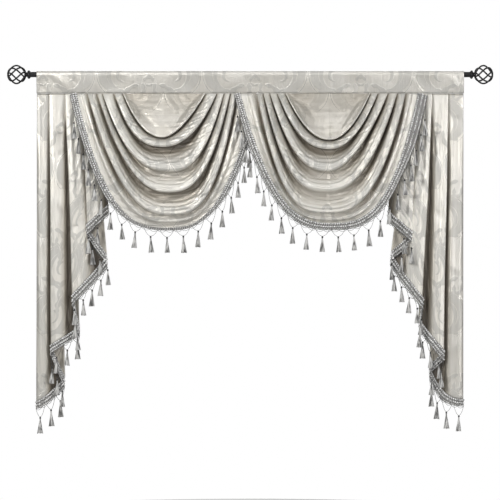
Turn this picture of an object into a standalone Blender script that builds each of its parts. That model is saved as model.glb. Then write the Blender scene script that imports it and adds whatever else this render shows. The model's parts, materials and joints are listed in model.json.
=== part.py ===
"""Window valance: two swags and two pleated side tails, trimmed with tassels, on a black rod with cage finials.

Frame: metres, +X to the right, +Y towards the wall, +Z up. The origin is the middle of the rod's axis.
"""

from collections import namedtuple
from math import cos, exp, pi, radians, sin

import bmesh
import bpy
import numpy as np
from mathutils import Matrix, Vector
from mathutils.bvhtree import BVHTree

MM = 0.001

# Driving dimensions
HALF_WIDTH = 0.750
SEAM_Z = -0.066
FIT = 0.0003
CLOTH = 0.0016

ROD_RADIUS = 0.0095
ROD_HALF_LENGTH = 0.768
ROD_SIDES = 18

COLLAR_RADIUS = 0.015
COLLAR_LENGTH = 0.018
CUP_RADIUS = 0.0105
CAGE_RADIUS = 0.0315
CAGE_WIRE_RADIUS = 0.0019
CAGE_WIRES = 6
CAGE_TWIST = radians(150)
CAGE_STEPS = 7
CAGE_POLE = radians(9)
CAGE_SEAT = 0.002
TIP_RADIUS = 0.0072
TIP_LENGTH = 0.0048

POCKET_CLEARANCE = 0.0004
HEADER_STATIONS = 13
HEADER_FOOT = 0.0022
HEADER_SWAY = 0.0012
CROWN_TURNS = (76, 50, 22, -4)
CROWN_HALF_TURN = radians(14)

BRAID_WIDTH = 0.023
BRAID_THICKNESS = 0.0016
BRAID_GAP = 0.0008
BRAID_FOLD_GAP = 0.0030
BRAID_STRETCH = 1.6

STRING_RADIUS = 0.0013
BEAD_RADIUS = 0.0032
NECK_RADIUS = 0.0024
NECK_LENGTH = 0.012
TASSEL_LENGTH = 0.055
SKIRT_RADIUS = 0.0078
TASSEL_CLEARANCE = 0.0015
TASSEL_ROOT_DEPTH = 0.25
SEARCH_START_Y = -0.4
SEARCH_STEPS = 13
TASSEL_TURN = radians(37)

# Each length of fringe: how far from its two ends the first and last tassels may hang, their pitch, how far below
# the braid the first and last beads hang, and how many times further they may hang where the braid is steep.
Fringe = namedtuple("Fringe", "name first last pitch first_drop last_drop steep")
TAIL_LEFT_FRINGE = Fringe("fringe_tail_left", 0.016, 0.030, 0.046, 0.036, 0.014, 1.0)
TAIL_RIGHT_FRINGE = Fringe("fringe_tail_right", 0.016, 0.030, 0.046, 0.036, 0.014, 1.0)
SWAG_LEFT_FRINGE = Fringe("fringe_swag_left", 0.066, 0.150, 0.0575, 0.027, 0.027, 1.4)
SWAG_RIGHT_FRINGE = Fringe("fringe_swag_right", 0.046, 0.030, 0.056, 0.027, 0.027, 1.4)

# How much of the braid shows past a swag's hem, by share of the hem's length from its left end. Along the bottom of
# the left swag most of it is turned under.
BraidWidth = namedtuple("BraidWidth", "share width")
SWAG_LEFT_BRAID = (
    BraidWidth(0.0, 0.021),
    BraidWidth(0.30, 0.019),
    BraidWidth(0.42, 0.007),
    BraidWidth(0.60, 0.007),
    BraidWidth(0.70, 0.018),
    BraidWidth(1.0, 0.022),
)
SWAG_RIGHT_BRAID = (
    BraidWidth(0.0, 0.018),
    BraidWidth(0.15, 0.023),
    BraidWidth(0.75, 0.023),
    BraidWidth(0.86, 0.033),
    BraidWidth(1.0, 0.033),
)

# Colours as linear base colour, roughness and metallic
SATIN = ((0.52, 0.50, 0.45), 0.42, 0.0)
TRIM = ((0.30, 0.30, 0.29), 0.70, 0.0)
BLACK_METAL = ((0.012, 0.012, 0.013), 0.38, 0.9)

# A swag's folds from the flat yoke outwards, in millimetres. Each row is the lip of one fold: where it leaves the
# seam at the left and right, its lowest point, how steep its two flanks are, how far its ends stand forward at the
# seam, how far its belly hangs forward and how high its ridge stands out of the grooves beside it.
Fold = namedtuple("Fold", "left_x right_x bottom_x bottom_z left_power right_power left_y right_y belly ridge")

LEFT_SWAG = (
    Fold(-444, -162, -305, -220, 2.15, 1.65, -8, -8, 34, 16),
    Fold(-472, -120, -305, -252, 2.7, 2.2, -8, -8, 40, 22),
    Fold(-516, -95, -274, -336, 2.7, 2.5, -8, -8, 44, 25),
    Fold(-533, -73, -288, -411, 2.25, 2.8, -8, -8, 46, 27),
    Fold(-569, -50, -288, -490, 2.35, 3.3, -8, -7, 42, 22),
    Fold(-590, -15, -288, -516, 2.6, 3.0, -9, -4, 36, 10),
    Fold(-612, 25, -280, -541, 3.0, 2.6, -9, -3, 30, 5),
)
RIGHT_SWAG = (
    Fold(127, 419, 278, -229, 2.1, 1.9, -9, -8, 36, 16),
    Fold(99, 444, 280, -260, 2.55, 2.05, -9, -8, 42, 22),
    Fold(72, 480, 273, -336, 2.55, 1.8, -10, -8, 46, 25),
    Fold(49, 512, 269, -406, 2.95, 2.3, -11, -8, 48, 27),
    Fold(26, 543, 269, -483, 3.1, 2.75, -12, -8, 44, 22),
    Fold(-6, 566, 275, -510, 2.85, 3.0, -12, -9, 38, 10),
    Fold(-38, 590, 279, -524, 2.6, 3.1, -13, -9, 32, 5),
)

# One fold from a lip to the next: share of the way down and share of the ridge's height.
FoldRow = namedtuple("FoldRow", "along forward")
FOLD_ROWS = (
    FoldRow(0.02, 0.50),
    FoldRow(0.0, 0.08),
    FoldRow(0.38, 0.12),
    FoldRow(0.78, 0.85),
    FoldRow(1.0, 1.0),
)
YOKE_INSET = 0.012
YOKE_ROWS = (0.0, 0.34, 0.72, 1.0)
SWAG_HALF_COLUMNS = 9
FLANK_STEPS = 80
SEAM_REACH = 0.070
SEAM_GAP = 0.0008
# Depth of the pleats stacked at the seam, and the place of the rearmost, in millimetres
SEAM_STACK = 6.6
SEAM_REAR = -1.4
# How much of its belly a swag keeps at its left and right ends
LEFT_SWAG_LEAN = (0.6, 0.3)
RIGHT_SWAG_LEAN = (1.1, 0.7)

# A tail's vertical folds from its outer edge inwards, in millimetres. A front fold shows; a rear one is hidden.
Pleat = namedtuple("Pleat", "top_x hem_x hem_z forward")

LEFT_TAIL = (
    Pleat(-749, -751, -1150, 0.75),
    Pleat(-672, -652, -1062, 0.0),
    Pleat(-706, -699, -952, 1.0),
    Pleat(-618, -600, -884, 0.0),
    Pleat(-650, -624, -778, 1.0),
    Pleat(-560, -504, -632, 0.0),
    Pleat(-592, -574, -530, 1.0),
    Pleat(-512, -500, -452, 0.1),
)
RIGHT_TAIL = (
    Pleat(749, 748, -1142, 0.75),
    Pleat(668, 630, -1022, 0.0),
    Pleat(696, 680, -972, 1.0),
    Pleat(618, 594, -858, 0.0),
    Pleat(640, 606, -790, 1.0),
    Pleat(566, 496, -622, 0.0),
    Pleat(586, 569, -556, 1.0),
    Pleat(508, 486, -474, 0.1),
)
LEFT_CORNER = 1.3
RIGHT_CORNER = 2.5
PLEAT_SPAN_TOP = (0.0115, 0.0030)
PLEAT_SPAN_HEM = (0.020, -0.020)
PLEAT_BULGE = 0.006
PLEAT_ROUND_TOP = 0.0016
PLEAT_ROUND_HEM = 0.0030
PANEL_SHARES = (0.0, 0.25, 0.5, 0.75, 1.0)
PANEL_HEM_START = 0.04
PANEL_HEM_END = 0.93
REAR_SWELL = 0.25
TAIL_LEVELS = 8


def clear_scene():
    for old in list(bpy.data.objects):
        bpy.data.objects.remove(old, do_unlink=True)


def named_collection(name):
    collection = bpy.data.collections.new(name)
    bpy.context.scene.collection.children.link(collection)
    return collection


def material(name, look):
    """A Principled BSDF material from a look of base colour, roughness and metallic."""
    colour, roughness, metallic = look
    made = bpy.data.materials.new(name)
    made.use_nodes = True
    shader = made.node_tree.nodes["Principled BSDF"]
    shader.inputs["Base Color"].default_value = (*colour, 1.0)
    shader.inputs["Roughness"].default_value = roughness
    shader.inputs["Metallic"].default_value = metallic
    return made


def evaluated_mesh(obj):
    """A plain mesh of the object with its modifiers applied."""
    graph = bpy.context.evaluated_depsgraph_get()
    return bpy.data.meshes.new_from_object(obj.evaluated_get(graph))


def add_object(name, mesh, collection, look):
    obj = bpy.data.objects.new(name, mesh)
    collection.objects.link(obj)
    mesh.materials.clear()
    mesh.materials.append(material(name + "_material", look))
    return obj


def sheet_mesh(name, rows, closed=False):
    """An open surface through rows of points. With closed, the last column joins the first."""
    made = bmesh.new()
    grid = [[made.verts.new(point) for point in row] for row in rows]
    columns = len(rows[0])
    for upper, lower in zip(grid, grid[1:]):
        for left in range(columns if closed else columns - 1):
            right = (left + 1) % columns
            made.faces.new((upper[left], lower[left], lower[right], upper[right]))
    bmesh.ops.recalc_face_normals(made, faces=made.faces)
    mesh = bpy.data.meshes.new(name)
    made.to_mesh(mesh)
    made.free()
    return mesh


def thick_sheet(name, rows, thickness, collection, look, closed=False):
    """A sheet of the given thickness, half of it on each side of the surface."""
    obj = add_object(name, sheet_mesh(name, rows, closed), collection, look)
    solidify = obj.modifiers.new("thickness", "SOLIDIFY")
    solidify.thickness = thickness
    solidify.offset = 0.0
    obj.data.shade_smooth()
    return obj


def blend(low, high, share):
    return low + (high - low) * share


def smooth(share):
    """Eases a share between 0 and 1 in and out."""
    share = min(max(share, 0.0), 1.0)
    return share * share * (3.0 - 2.0 * share)


def evenly(points, count):
    """Resamples a polyline to count + 1 points at even distances."""
    points = np.array(points)
    steps = np.linalg.norm(np.diff(points, axis=0), axis=1)
    reach = np.concatenate(([0.0], np.cumsum(steps)))
    wanted = np.linspace(0.0, reach[-1], count + 1)
    return np.stack([np.interp(wanted, reach, points[:, axis]) for axis in range(points.shape[1])], axis=1)


def turned(name, profile, steps):
    """A mesh turned about Z from a profile that runs from the top of the axis to its foot."""
    made = bmesh.new()
    verts = [made.verts.new((radius, 0.0, height)) for radius, height in profile]
    for above, below in zip(verts, verts[1:]):
        made.edges.new((above, below))
    mesh = bpy.data.meshes.new(name)
    made.to_mesh(mesh)
    made.free()
    obj = bpy.data.objects.new(name, mesh)
    bpy.context.scene.collection.objects.link(obj)
    screw = obj.modifiers.new("turn", "SCREW")
    screw.steps = steps
    screw.render_steps = steps
    screw.use_merge_vertices = True
    screw.merge_threshold = 0.00001
    result = evaluated_mesh(obj)
    bpy.data.objects.remove(obj)
    return result


def wire(name, points, radius):
    """A mesh of one round wire with filled ends along the points."""
    curve = bpy.data.curves.new(name, "CURVE")
    curve.dimensions = "3D"
    curve.bevel_depth = radius
    curve.bevel_resolution = 1
    curve.use_fill_caps = True
    spline = curve.splines.new("POLY")
    spline.points.add(len(points) - 1)
    for place, point in zip(spline.points, points):
        place.co = (*point, 1.0)
    obj = bpy.data.objects.new(name, curve)
    bpy.context.scene.collection.objects.link(obj)
    mesh = evaluated_mesh(obj)
    bpy.data.objects.remove(obj)
    welded = bmesh.new()
    welded.from_mesh(mesh)
    bmesh.ops.remove_doubles(welded, verts=welded.verts, dist=0.00001)
    bmesh.ops.recalc_face_normals(welded, faces=welded.faces)
    welded.to_mesh(mesh)
    welded.free()
    return mesh


def joined(name, meshes):
    """One mesh that holds all the given ones, each still a body of its own."""
    made = bmesh.new()
    for mesh in meshes:
        made.from_mesh(mesh)
    result = bpy.data.meshes.new(name)
    made.to_mesh(result)
    made.free()
    return result


def in_triangles(mesh):
    made = bmesh.new()
    made.from_mesh(mesh)
    bmesh.ops.triangulate(made, faces=made.faces)
    made.to_mesh(mesh)
    made.free()
    return mesh


def united(obj, mesh, cutters):
    """Fuses a mesh of closed bodies to the object, and leaves the object as one plain mesh."""
    plain = in_triangles(evaluated_mesh(obj))
    obj.modifiers.clear()
    obj.data = plain
    in_triangles(mesh)
    helper = bpy.data.objects.new(obj.name + "_added", mesh)
    cutters.objects.link(helper)
    helper.hide_render = True
    helper.display_type = "WIRE"
    union = obj.modifiers.new("fuse", "BOOLEAN")
    union.operation = "UNION"
    union.use_self = True
    union.object = helper
    result = evaluated_mesh(obj)
    obj.modifiers.clear()
    obj.data = result
    bpy.data.objects.remove(helper)
    return obj


def build_rod(collection):
    """The plain tube that the heading is threaded on."""
    bpy.ops.mesh.primitive_cylinder_add(
        vertices=ROD_SIDES, radius=ROD_RADIUS, depth=2.0 * ROD_HALF_LENGTH, rotation=(0.0, radians(90), 0.0)
    )
    rod = bpy.context.object
    mesh = rod.data.copy()
    mesh.transform(rod.matrix_world)
    bpy.data.objects.remove(rod)
    made = add_object("rod", mesh, collection, BLACK_METAL)
    mesh.shade_smooth()
    mesh.set_sharp_from_angle(angle=radians(40))
    return made


def cage_wire(turn):
    """One of the cage's twisted wires, from pole to pole about Z."""
    points = []
    for step in range(CAGE_STEPS + 1):
        share = step / CAGE_STEPS
        polar = blend(CAGE_POLE, pi - CAGE_POLE, share)
        angle = turn + CAGE_TWIST * (share - 0.5)
        reach = CAGE_RADIUS * sin(polar)
        points.append((reach * cos(angle), reach * sin(angle), CAGE_RADIUS * cos(polar)))
    return wire("cage_wire", points, CAGE_WIRE_RADIUS)


def build_finial(name, side, collection, cutters):
    """Collar, cup, twisted cage and tip in one piece, with its axis along X."""
    cage_foot = COLLAR_LENGTH + CAGE_SEAT
    cage_centre = cage_foot + CAGE_RADIUS
    tip = cage_centre + CAGE_RADIUS
    # Radius and height, in shares of the sizes above
    profile = (
        (0.0, cage_foot + 2.5 * CAGE_SEAT),
        (CUP_RADIUS * 0.52, cage_foot + 2.35 * CAGE_SEAT),
        (CUP_RADIUS, cage_foot + CAGE_SEAT),
        (ROD_RADIUS * 0.9, COLLAR_LENGTH * 0.83),
        (COLLAR_RADIUS, COLLAR_LENGTH * 0.60),
        (COLLAR_RADIUS, COLLAR_LENGTH * 0.35),
        (ROD_RADIUS, COLLAR_LENGTH * 0.15),
        (ROD_RADIUS, 0.0),
        (0.0, 0.0),
    )
    cap = (
        (0.0, tip + TIP_LENGTH * 0.5),
        (TIP_RADIUS, tip - TIP_LENGTH * 0.4),
        (TIP_RADIUS * 0.83, tip - TIP_LENGTH * 0.9),
        (0.0, tip - TIP_LENGTH),
    )
    base = turned("finial_base", profile, 12)
    wires = [cage_wire(2.0 * pi * number / CAGE_WIRES) for number in range(CAGE_WIRES)]
    for mesh in wires:
        mesh.transform(Matrix.Translation((0.0, 0.0, cage_centre)))
    finial = add_object(name, base, collection, BLACK_METAL)
    united(finial, joined("finial_cage", wires + [turned("finial_tip", cap, 8)]), cutters)
    finial.data.materials.clear()
    finial.data.materials.append(material(name + "_metal", BLACK_METAL))
    finial.location = (side * (ROD_HALF_LENGTH + FIT), 0.0, 0.0)
    finial.rotation_euler = (0.0, side * radians(90), 0.0)
    finial.data.shade_smooth()
    finial.data.set_sharp_from_angle(angle=radians(50))
    return finial


def header_section(x):
    """The middle of the folded band's cloth: over the rod and down to the seam, front and back."""
    crown = (ROD_RADIUS + POCKET_CLEARANCE + CLOTH / 2.0) / cos(CROWN_HALF_TURN)
    foot_z = SEAM_Z + CLOTH / 2.0
    front = [(-crown * cos(radians(turn)), crown * sin(radians(turn))) for turn in CROWN_TURNS]
    shoulder_y, shoulder_z = front[-1]
    sway = HEADER_SWAY * (sin(23.0 * x) + 0.65 * sin(51.0 * x + 1.0))
    for share in (0.35, 0.7):
        y = blend(shoulder_y, -HEADER_FOOT, share) + sway * sin(pi * share)
        front.append((y, blend(shoulder_z, foot_z, share)))
    front.append((-HEADER_FOOT, foot_z))
    back = [(-y, z) for y, z in reversed(front)]
    return [(x, y, z) for y, z in front + back]


def build_header(collection):
    """The heading band, a flat sleeve around the rod."""
    places = [blend(-HALF_WIDTH, HALF_WIDTH, step / (HEADER_STATIONS - 1)) for step in range(HEADER_STATIONS)]
    rows = [header_section(x) for x in places]
    return thick_sheet("header", rows, CLOTH, collection, SATIN, closed=True)


def swag_rows(folds):
    """Every row of a swag from its straight seam to its hem, as folds that follow one another."""
    yoke = folds[0]
    straight = yoke._replace(
        left_x=yoke.left_x + YOKE_INSET / MM,
        right_x=yoke.right_x - YOKE_INSET / MM,
        bottom_z=SEAM_Z / MM,
        left_power=2.0,
        right_power=2.0,
        left_y=SEAM_REAR,
        right_y=SEAM_REAR,
        belly=0.0,
        ridge=0.0,
    )
    rows = []
    for share in YOKE_ROWS:
        mixed = [blend(low, high, share) for low, high in zip(straight, yoke)]
        rows.append((Fold(*mixed), smooth(share)))
    for upper, lower in zip(folds, folds[1:]):
        for row in FOLD_ROWS:
            mixed = [blend(low, high, row.along) for low, high in zip(upper, lower)]
            rows.append((Fold(*mixed), row.forward))
    return rows


def flank(top_x, fold, power):
    """One side of a hanging fold, from the seam down to its lowest point, at even distances."""
    half = abs(fold.bottom_x - top_x) * MM
    side = 1.0 if top_x > fold.bottom_x else -1.0
    points = []
    for step in range(FLANK_STEPS + 1):
        out = cos(0.5 * pi * step / FLANK_STEPS)
        x = fold.bottom_x * MM + side * half * out
        points.append((x, blend(fold.bottom_z * MM, SEAM_Z - SEAM_GAP, out**power)))
    return evenly(points, SWAG_HALF_COLUMNS)


def swag_row(fold, forward, leans):
    """The points of one row. It stands forward with distance from the seam and with its share of the ridge."""
    sides = []
    ends = ((fold.left_x, fold.left_power, fold.left_y), (fold.right_x, fold.right_power, fold.right_y))
    for (top_x, power, seam_y), lean in zip(ends, leans):
        places = flank(top_x, fold, power)
        half_length = np.linalg.norm(np.diff(places, axis=0), axis=1).sum()
        points = []
        for number, (x, z) in enumerate(places):
            share = number / SWAG_HALF_COLUMNS
            away = 1.0 - exp(-share * half_length / SEAM_REACH)
            belly = fold.belly * blend(lean, 1.0, smooth(share)) * away
            ridge = fold.ridge * forward * away
            stack = blend(min(seam_y + SEAM_STACK, SEAM_REAR), seam_y, forward)
            points.append((x, (stack - belly - ridge) * MM, z))
        sides.append(points)
    left, right = sides
    return left + right[-2::-1]


def build_swag(name, folds, leans, collection):
    rows = [swag_row(fold, forward, leans) for fold, forward in swag_rows(folds)]
    return thick_sheet(name, rows, CLOTH, collection, SATIN), rows[-1]


def tail_share(z):
    """How far down the longest edge of a tail a height lies."""
    return (SEAM_Z - z) / (SEAM_Z - LEFT_TAIL[0].hem_z * MM)


def tail_path(pleats, z):
    """A tail's plan at one height: each fold is rounded, and each panel between folds swells forward a little."""
    down = min(max(tail_share(z), 0.0), 1.0)
    rear = blend(PLEAT_SPAN_TOP[0], PLEAT_SPAN_HEM[0], down)
    front = blend(PLEAT_SPAN_TOP[1], PLEAT_SPAN_HEM[1], down)
    rounding = blend(PLEAT_ROUND_TOP, PLEAT_ROUND_HEM, down)
    folds = []
    for pleat in pleats:
        drop = (SEAM_Z - z) / (SEAM_Z - pleat.hem_z * MM)
        folds.append((blend(pleat.top_x, pleat.hem_x, drop) * MM, blend(rear, front, pleat.forward)))
    points = []
    for number in range(len(folds) - 1):
        (x0, y0), (x1, y1) = folds[number], folds[number + 1]
        heading = 1.0 if x1 > x0 else -1.0
        starts_free = number == 0
        ends_free = number == len(folds) - 2
        x_from = x0 if starts_free else x0 + heading * rounding
        x_to = x1 if ends_free else x1 - heading * rounding
        y_from = y0 if starts_free else y0 - rounding
        y_to = y1 if ends_free else y1 + rounding
        swell = PLEAT_BULGE * down * (1.0 if number % 2 == 0 else REAR_SWELL)
        for share in PANEL_SHARES:
            y = blend(y_from, y_to, share) - swell * sin(pi * share)
            points.append((blend(x_from, x_to, share), y))
        if not ends_free:
            points.append((x1, y1))
    return np.array(points)


def tail_hem(pleats, corner):
    """The hem's height at each point of the plan. A higher corner value keeps the outer corner squarer."""
    heights = []
    for number in range(len(pleats) - 1):
        z0, z1 = pleats[number].hem_z * MM, pleats[number + 1].hem_z * MM
        for share in PANEL_SHARES:
            start = 0.0 if number == 0 else PANEL_HEM_START
            rise = share**corner if number == 0 else share
            heights.append(blend(z0, z1, blend(start, PANEL_HEM_END, rise)))
        if number < len(pleats) - 2:
            heights.append(z1)
    return np.array(heights)


def build_tail(name, pleats, corner, collection):
    """A pleated tail, and the two edges of the braid that follows its slanting hem."""
    hem = tail_hem(pleats, corner)
    levels = []
    for level in range(TAIL_LEVELS):
        down = level / (TAIL_LEVELS - 1)
        row = []
        for number, low in enumerate(hem):
            z = blend(SEAM_Z - FIT, low, down)
            x, y = tail_path(pleats, z)[number]
            row.append((x, y, z))
        levels.append(row)
    obj = thick_sheet(name, levels, CLOTH, collection, SATIN)
    return obj, tail_braid(pleats, hem)


def tail_braid(pleats, hem):
    """The braid's upper and lower edges. It keeps its width square to the hem, as far as the steep returns allow."""
    flat = []
    for number, z in enumerate(hem):
        steps = np.linalg.norm(np.diff(tail_path(pleats, z), axis=0), axis=1)
        flat.append((steps[:number].sum(), z))
    slopes = np.gradient(np.array(flat), axis=0)
    level_share = slopes[:, 0] / np.linalg.norm(slopes, axis=1)
    edges = []
    for upper in (True, False):
        edge = []
        for number, z in enumerate(hem):
            at_fold = number % (len(PANEL_SHARES) + 1) in (0, len(PANEL_SHARES) - 1, len(PANEL_SHARES))
            gap = BRAID_FOLD_GAP if at_fold else BRAID_GAP
            stretch = min(1.0 / level_share[number], BRAID_STRETCH)
            low = z - (gap if upper else BRAID_WIDTH) * stretch
            x, y = tail_path(pleats, low)[number]
            edge.append((x, y, low))
        edges.append(edge)
    return edges


def swag_braid(hem, widths):
    """The braid's inner and outer edges, square to a swag's hem as seen from the front."""
    hem = np.array(hem)
    shares = np.linspace(0.0, 1.0, len(hem))
    width = np.interp(shares, [row.share for row in widths], [row.width for row in widths])
    slopes = np.gradient(hem[:, (0, 2)], axis=0)
    slopes /= np.linalg.norm(slopes, axis=1)[:, None]
    edges = []
    for reach_out in (BRAID_GAP, width):
        edge = hem.copy()
        edge[:, 0] += slopes[:, 1] * reach_out
        edge[:, 2] = np.minimum(hem[:, 2] - slopes[:, 0] * reach_out, SEAM_Z - FIT)
        edges.append([tuple(point) for point in edge])
    return edges


def tassel_mesh(root, head, turn):
    """A four-sided tassel: string, bead, neck and spread skirt, turned about its own string."""
    root, head = Vector(root), Vector(head)
    rings = (
        (root, STRING_RADIUS),
        (head + Vector((0, 0, BEAD_RADIUS)), STRING_RADIUS),
        (head, BEAD_RADIUS),
        (head - Vector((0, 0, NECK_LENGTH)), NECK_RADIUS),
        (head - Vector((0, 0, TASSEL_LENGTH)), SKIRT_RADIUS),
    )
    made = bmesh.new()
    loops = []
    for centre, radius in rings:
        corners = [turn + radians(90) * corner for corner in range(4)]
        loops.append([made.verts.new(centre + radius * Vector((cos(a), sin(a), 0.0))) for a in corners])
    for upper, lower in zip(loops, loops[1:]):
        for near in range(4):
            far = (near + 1) % 4
            made.faces.new((upper[near], lower[near], lower[far], upper[far]))
    made.faces.new(loops[0])
    made.faces.new(list(reversed(loops[-1])))
    bmesh.ops.recalc_face_normals(made, faces=made.faces)
    mesh = bpy.data.meshes.new("tassel")
    made.to_mesh(mesh)
    made.free()
    return mesh


def solid_tree(objects):
    """A search tree of the finished surfaces of some objects."""
    whole = bmesh.new()
    for obj in objects:
        whole.from_mesh(evaluated_mesh(obj))
    tree = BVHTree.FromBMesh(whole)
    whole.free()
    return tree


def clear_front(tree, x, z_high, z_low, deepest):
    """The foremost y of anything behind a tassel that hangs at x between two heights."""
    found = deepest
    reach = SKIRT_RADIUS + TASSEL_CLEARANCE
    for side in (-1.0, -0.5, 0.0, 0.5, 1.0):
        for step in range(SEARCH_STEPS):
            height = blend(z_high, z_low, step / (SEARCH_STEPS - 1))
            start = Vector((x + side * reach, SEARCH_START_Y, height))
            hit = tree.ray_cast(start, Vector((0.0, 1.0, 0.0)))[0]
            if hit is not None:
                found = min(found, hit.y)
    return found


def build_fringe(fringe, edges, behind, collection, cutters):
    """A braid with its tassels at an even pitch, all in one piece."""
    obj = thick_sheet(fringe.name, edges, BRAID_THICKNESS, collection, TRIM)
    tree = solid_tree([obj] + behind)
    middle = np.array(edges).mean(axis=0)
    outer = np.array(edges[1])
    steps = np.linalg.norm(np.diff(outer, axis=0), axis=1)
    reach = np.concatenate(([0.0], np.cumsum(steps)))
    level = np.abs(np.gradient(outer[:, 0])) / np.linalg.norm(np.gradient(outer, axis=0), axis=1)
    count = int((reach[-1] - fringe.last - fringe.first) / fringe.pitch)
    tassels = []
    for number in range(count + 1):
        place = fringe.first + number * fringe.pitch
        steep = min(1.0 / max(np.interp(place, reach, level), FIT), fringe.steep)
        drop = blend(fringe.first_drop, fringe.last_drop, number / count) * steep
        edge = [np.interp(place, reach, outer[:, axis]) for axis in range(3)]
        core = [np.interp(place, reach, middle[:, axis]) for axis in range(3)]
        root = [blend(near, far, TASSEL_ROOT_DEPTH) for near, far in zip(edge, core)]
        z_bead = edge[2] - drop
        z_top = z_bead + BEAD_RADIUS + TASSEL_CLEARANCE
        z_foot = z_bead - TASSEL_LENGTH - TASSEL_CLEARANCE
        front = clear_front(tree, edge[0], z_top, z_foot, edge[1] + SKIRT_RADIUS)
        head = (edge[0], front - SKIRT_RADIUS - TASSEL_CLEARANCE, z_bead)
        tassels.append(tassel_mesh(root, head, TASSEL_TURN * number))
    united(obj, joined(fringe.name + "_tassels", tassels), cutters)
    obj.data.materials.clear()
    obj.data.materials.append(material(fringe.name + "_trim", TRIM))
    return obj


def main():
    clear_scene()
    parts = named_collection("window_valance")
    cutters = named_collection("cutters")
    build_rod(parts)
    build_finial("finial_left", -1.0, parts, cutters)
    build_finial("finial_right", 1.0, parts, cutters)
    build_header(parts)
    tail_left, tail_left_braid = build_tail("tail_left", LEFT_TAIL, LEFT_CORNER, parts)
    tail_right, tail_right_braid = build_tail("tail_right", RIGHT_TAIL, RIGHT_CORNER, parts)
    swag_left, hem_left = build_swag("swag_left", LEFT_SWAG, LEFT_SWAG_LEAN, parts)
    swag_right, hem_right = build_swag("swag_right", RIGHT_SWAG, RIGHT_SWAG_LEAN, parts)
    fringe_tail_left = build_fringe(TAIL_LEFT_FRINGE, tail_left_braid, [tail_left], parts, cutters)
    fringe_tail_right = build_fringe(TAIL_RIGHT_FRINGE, tail_right_braid, [tail_right], parts, cutters)
    edges_left = swag_braid(hem_left, SWAG_LEFT_BRAID)
    behind_left = [swag_left, tail_left, fringe_tail_left]
    fringe_left = build_fringe(SWAG_LEFT_FRINGE, edges_left, behind_left, parts, cutters)
    behind_right = [swag_right, tail_right, fringe_tail_right, swag_left, fringe_left]
    edges_right = swag_braid(hem_right, SWAG_RIGHT_BRAID)
    build_fringe(SWAG_RIGHT_FRINGE, edges_right, behind_right, parts, cutters)


main()
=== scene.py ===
"""Window valance: the finished cloth, fringe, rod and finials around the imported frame.

Frame: metres, +X to the right, +Y towards the wall, +Z up.
The origin is the middle of the rod's axis.
"""

import json
from collections import namedtuple
from math import cos, pi, radians, sin, tau

import bmesh
import bpy
import numpy as np
from mathutils import Matrix, Vector
from mathutils.bvhtree import BVHTree

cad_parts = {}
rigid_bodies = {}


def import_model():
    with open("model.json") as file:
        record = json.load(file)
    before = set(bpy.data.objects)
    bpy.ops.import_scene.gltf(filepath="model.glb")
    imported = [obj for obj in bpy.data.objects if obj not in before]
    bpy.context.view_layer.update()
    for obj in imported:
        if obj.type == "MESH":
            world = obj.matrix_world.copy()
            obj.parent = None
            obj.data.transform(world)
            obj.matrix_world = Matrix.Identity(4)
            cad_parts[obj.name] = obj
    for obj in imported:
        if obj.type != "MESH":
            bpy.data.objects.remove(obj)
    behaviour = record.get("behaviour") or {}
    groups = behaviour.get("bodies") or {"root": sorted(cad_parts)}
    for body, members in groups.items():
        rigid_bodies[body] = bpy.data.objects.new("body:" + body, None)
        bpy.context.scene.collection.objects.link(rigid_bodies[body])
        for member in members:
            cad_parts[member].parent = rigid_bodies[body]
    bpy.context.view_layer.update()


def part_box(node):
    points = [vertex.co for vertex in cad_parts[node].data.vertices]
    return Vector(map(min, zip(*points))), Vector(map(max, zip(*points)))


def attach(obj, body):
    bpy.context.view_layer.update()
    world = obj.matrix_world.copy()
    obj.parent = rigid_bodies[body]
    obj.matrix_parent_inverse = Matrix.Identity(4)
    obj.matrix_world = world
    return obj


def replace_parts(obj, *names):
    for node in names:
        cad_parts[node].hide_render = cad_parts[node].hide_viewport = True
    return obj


bl_info = {
    "name": "Window valance",
    "version": (1, 0, 0),
    "blender": (4, 5, 0),
    "location": "3D View > Sidebar > Valance",
    "description": "Builds a valance of swags and side tails with a tassel fringe, on its rod",
    "category": "Add Mesh",
}

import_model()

MM = 0.001
TINY = 1e-9
ROOT = "root"

# Driving sizes, the same as the frame's
HALF_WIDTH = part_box("header")[1].x
SEAM_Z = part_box("header")[0].z
ROD_HALF_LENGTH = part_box("rod")[1].x
FIT = 0.0003
CLOTH = 0.0016
ROD_RADIUS = 0.0095

COLLAR_RADIUS = 0.015
COLLAR_LENGTH = 0.018
CUP_RADIUS = 0.0105
CAGE_RADIUS = 0.0315
CAGE_WIRE_RADIUS = 0.0029
CAGE_WIRES = 6
CAGE_TWIST = radians(150)
CAGE_POLE = radians(9)
CAGE_SEAT = 0.002
CAGE_POINTS = 33
COLLAR_STEPS = 48
TIP_STEPS = 32
TIP_RADIUS = 0.0072
TIP_LENGTH = 0.0048

POCKET_CLEARANCE = 0.0004
HEADER_FOOT = 0.0022
HEADER_SWAY = 0.0012
HEADER_SWAYS = ((1.0, 23.0, 0.0), (0.65, 51.0, 1.0))
HEADER_TURNS = (86.0, -4.0)
HEADER_TURN_STEPS = 12
HEADER_FREE_TOP = 0.02
HEADER_FREE_FOOT = 0.006
HEADER_BACK_SHARE = -0.4

BRAID_WIDTH = 0.023
BRAID_THICKNESS = 0.0016
BRAID_LAP = 0.0030
BRAID_STAND = 0.0018
BRAID_GAP = 0.0008
BRAID_FOLD_GAP = 0.0030
BRAID_STRETCH = 1.6
BRAID_STEEPEST = 0.01

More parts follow.
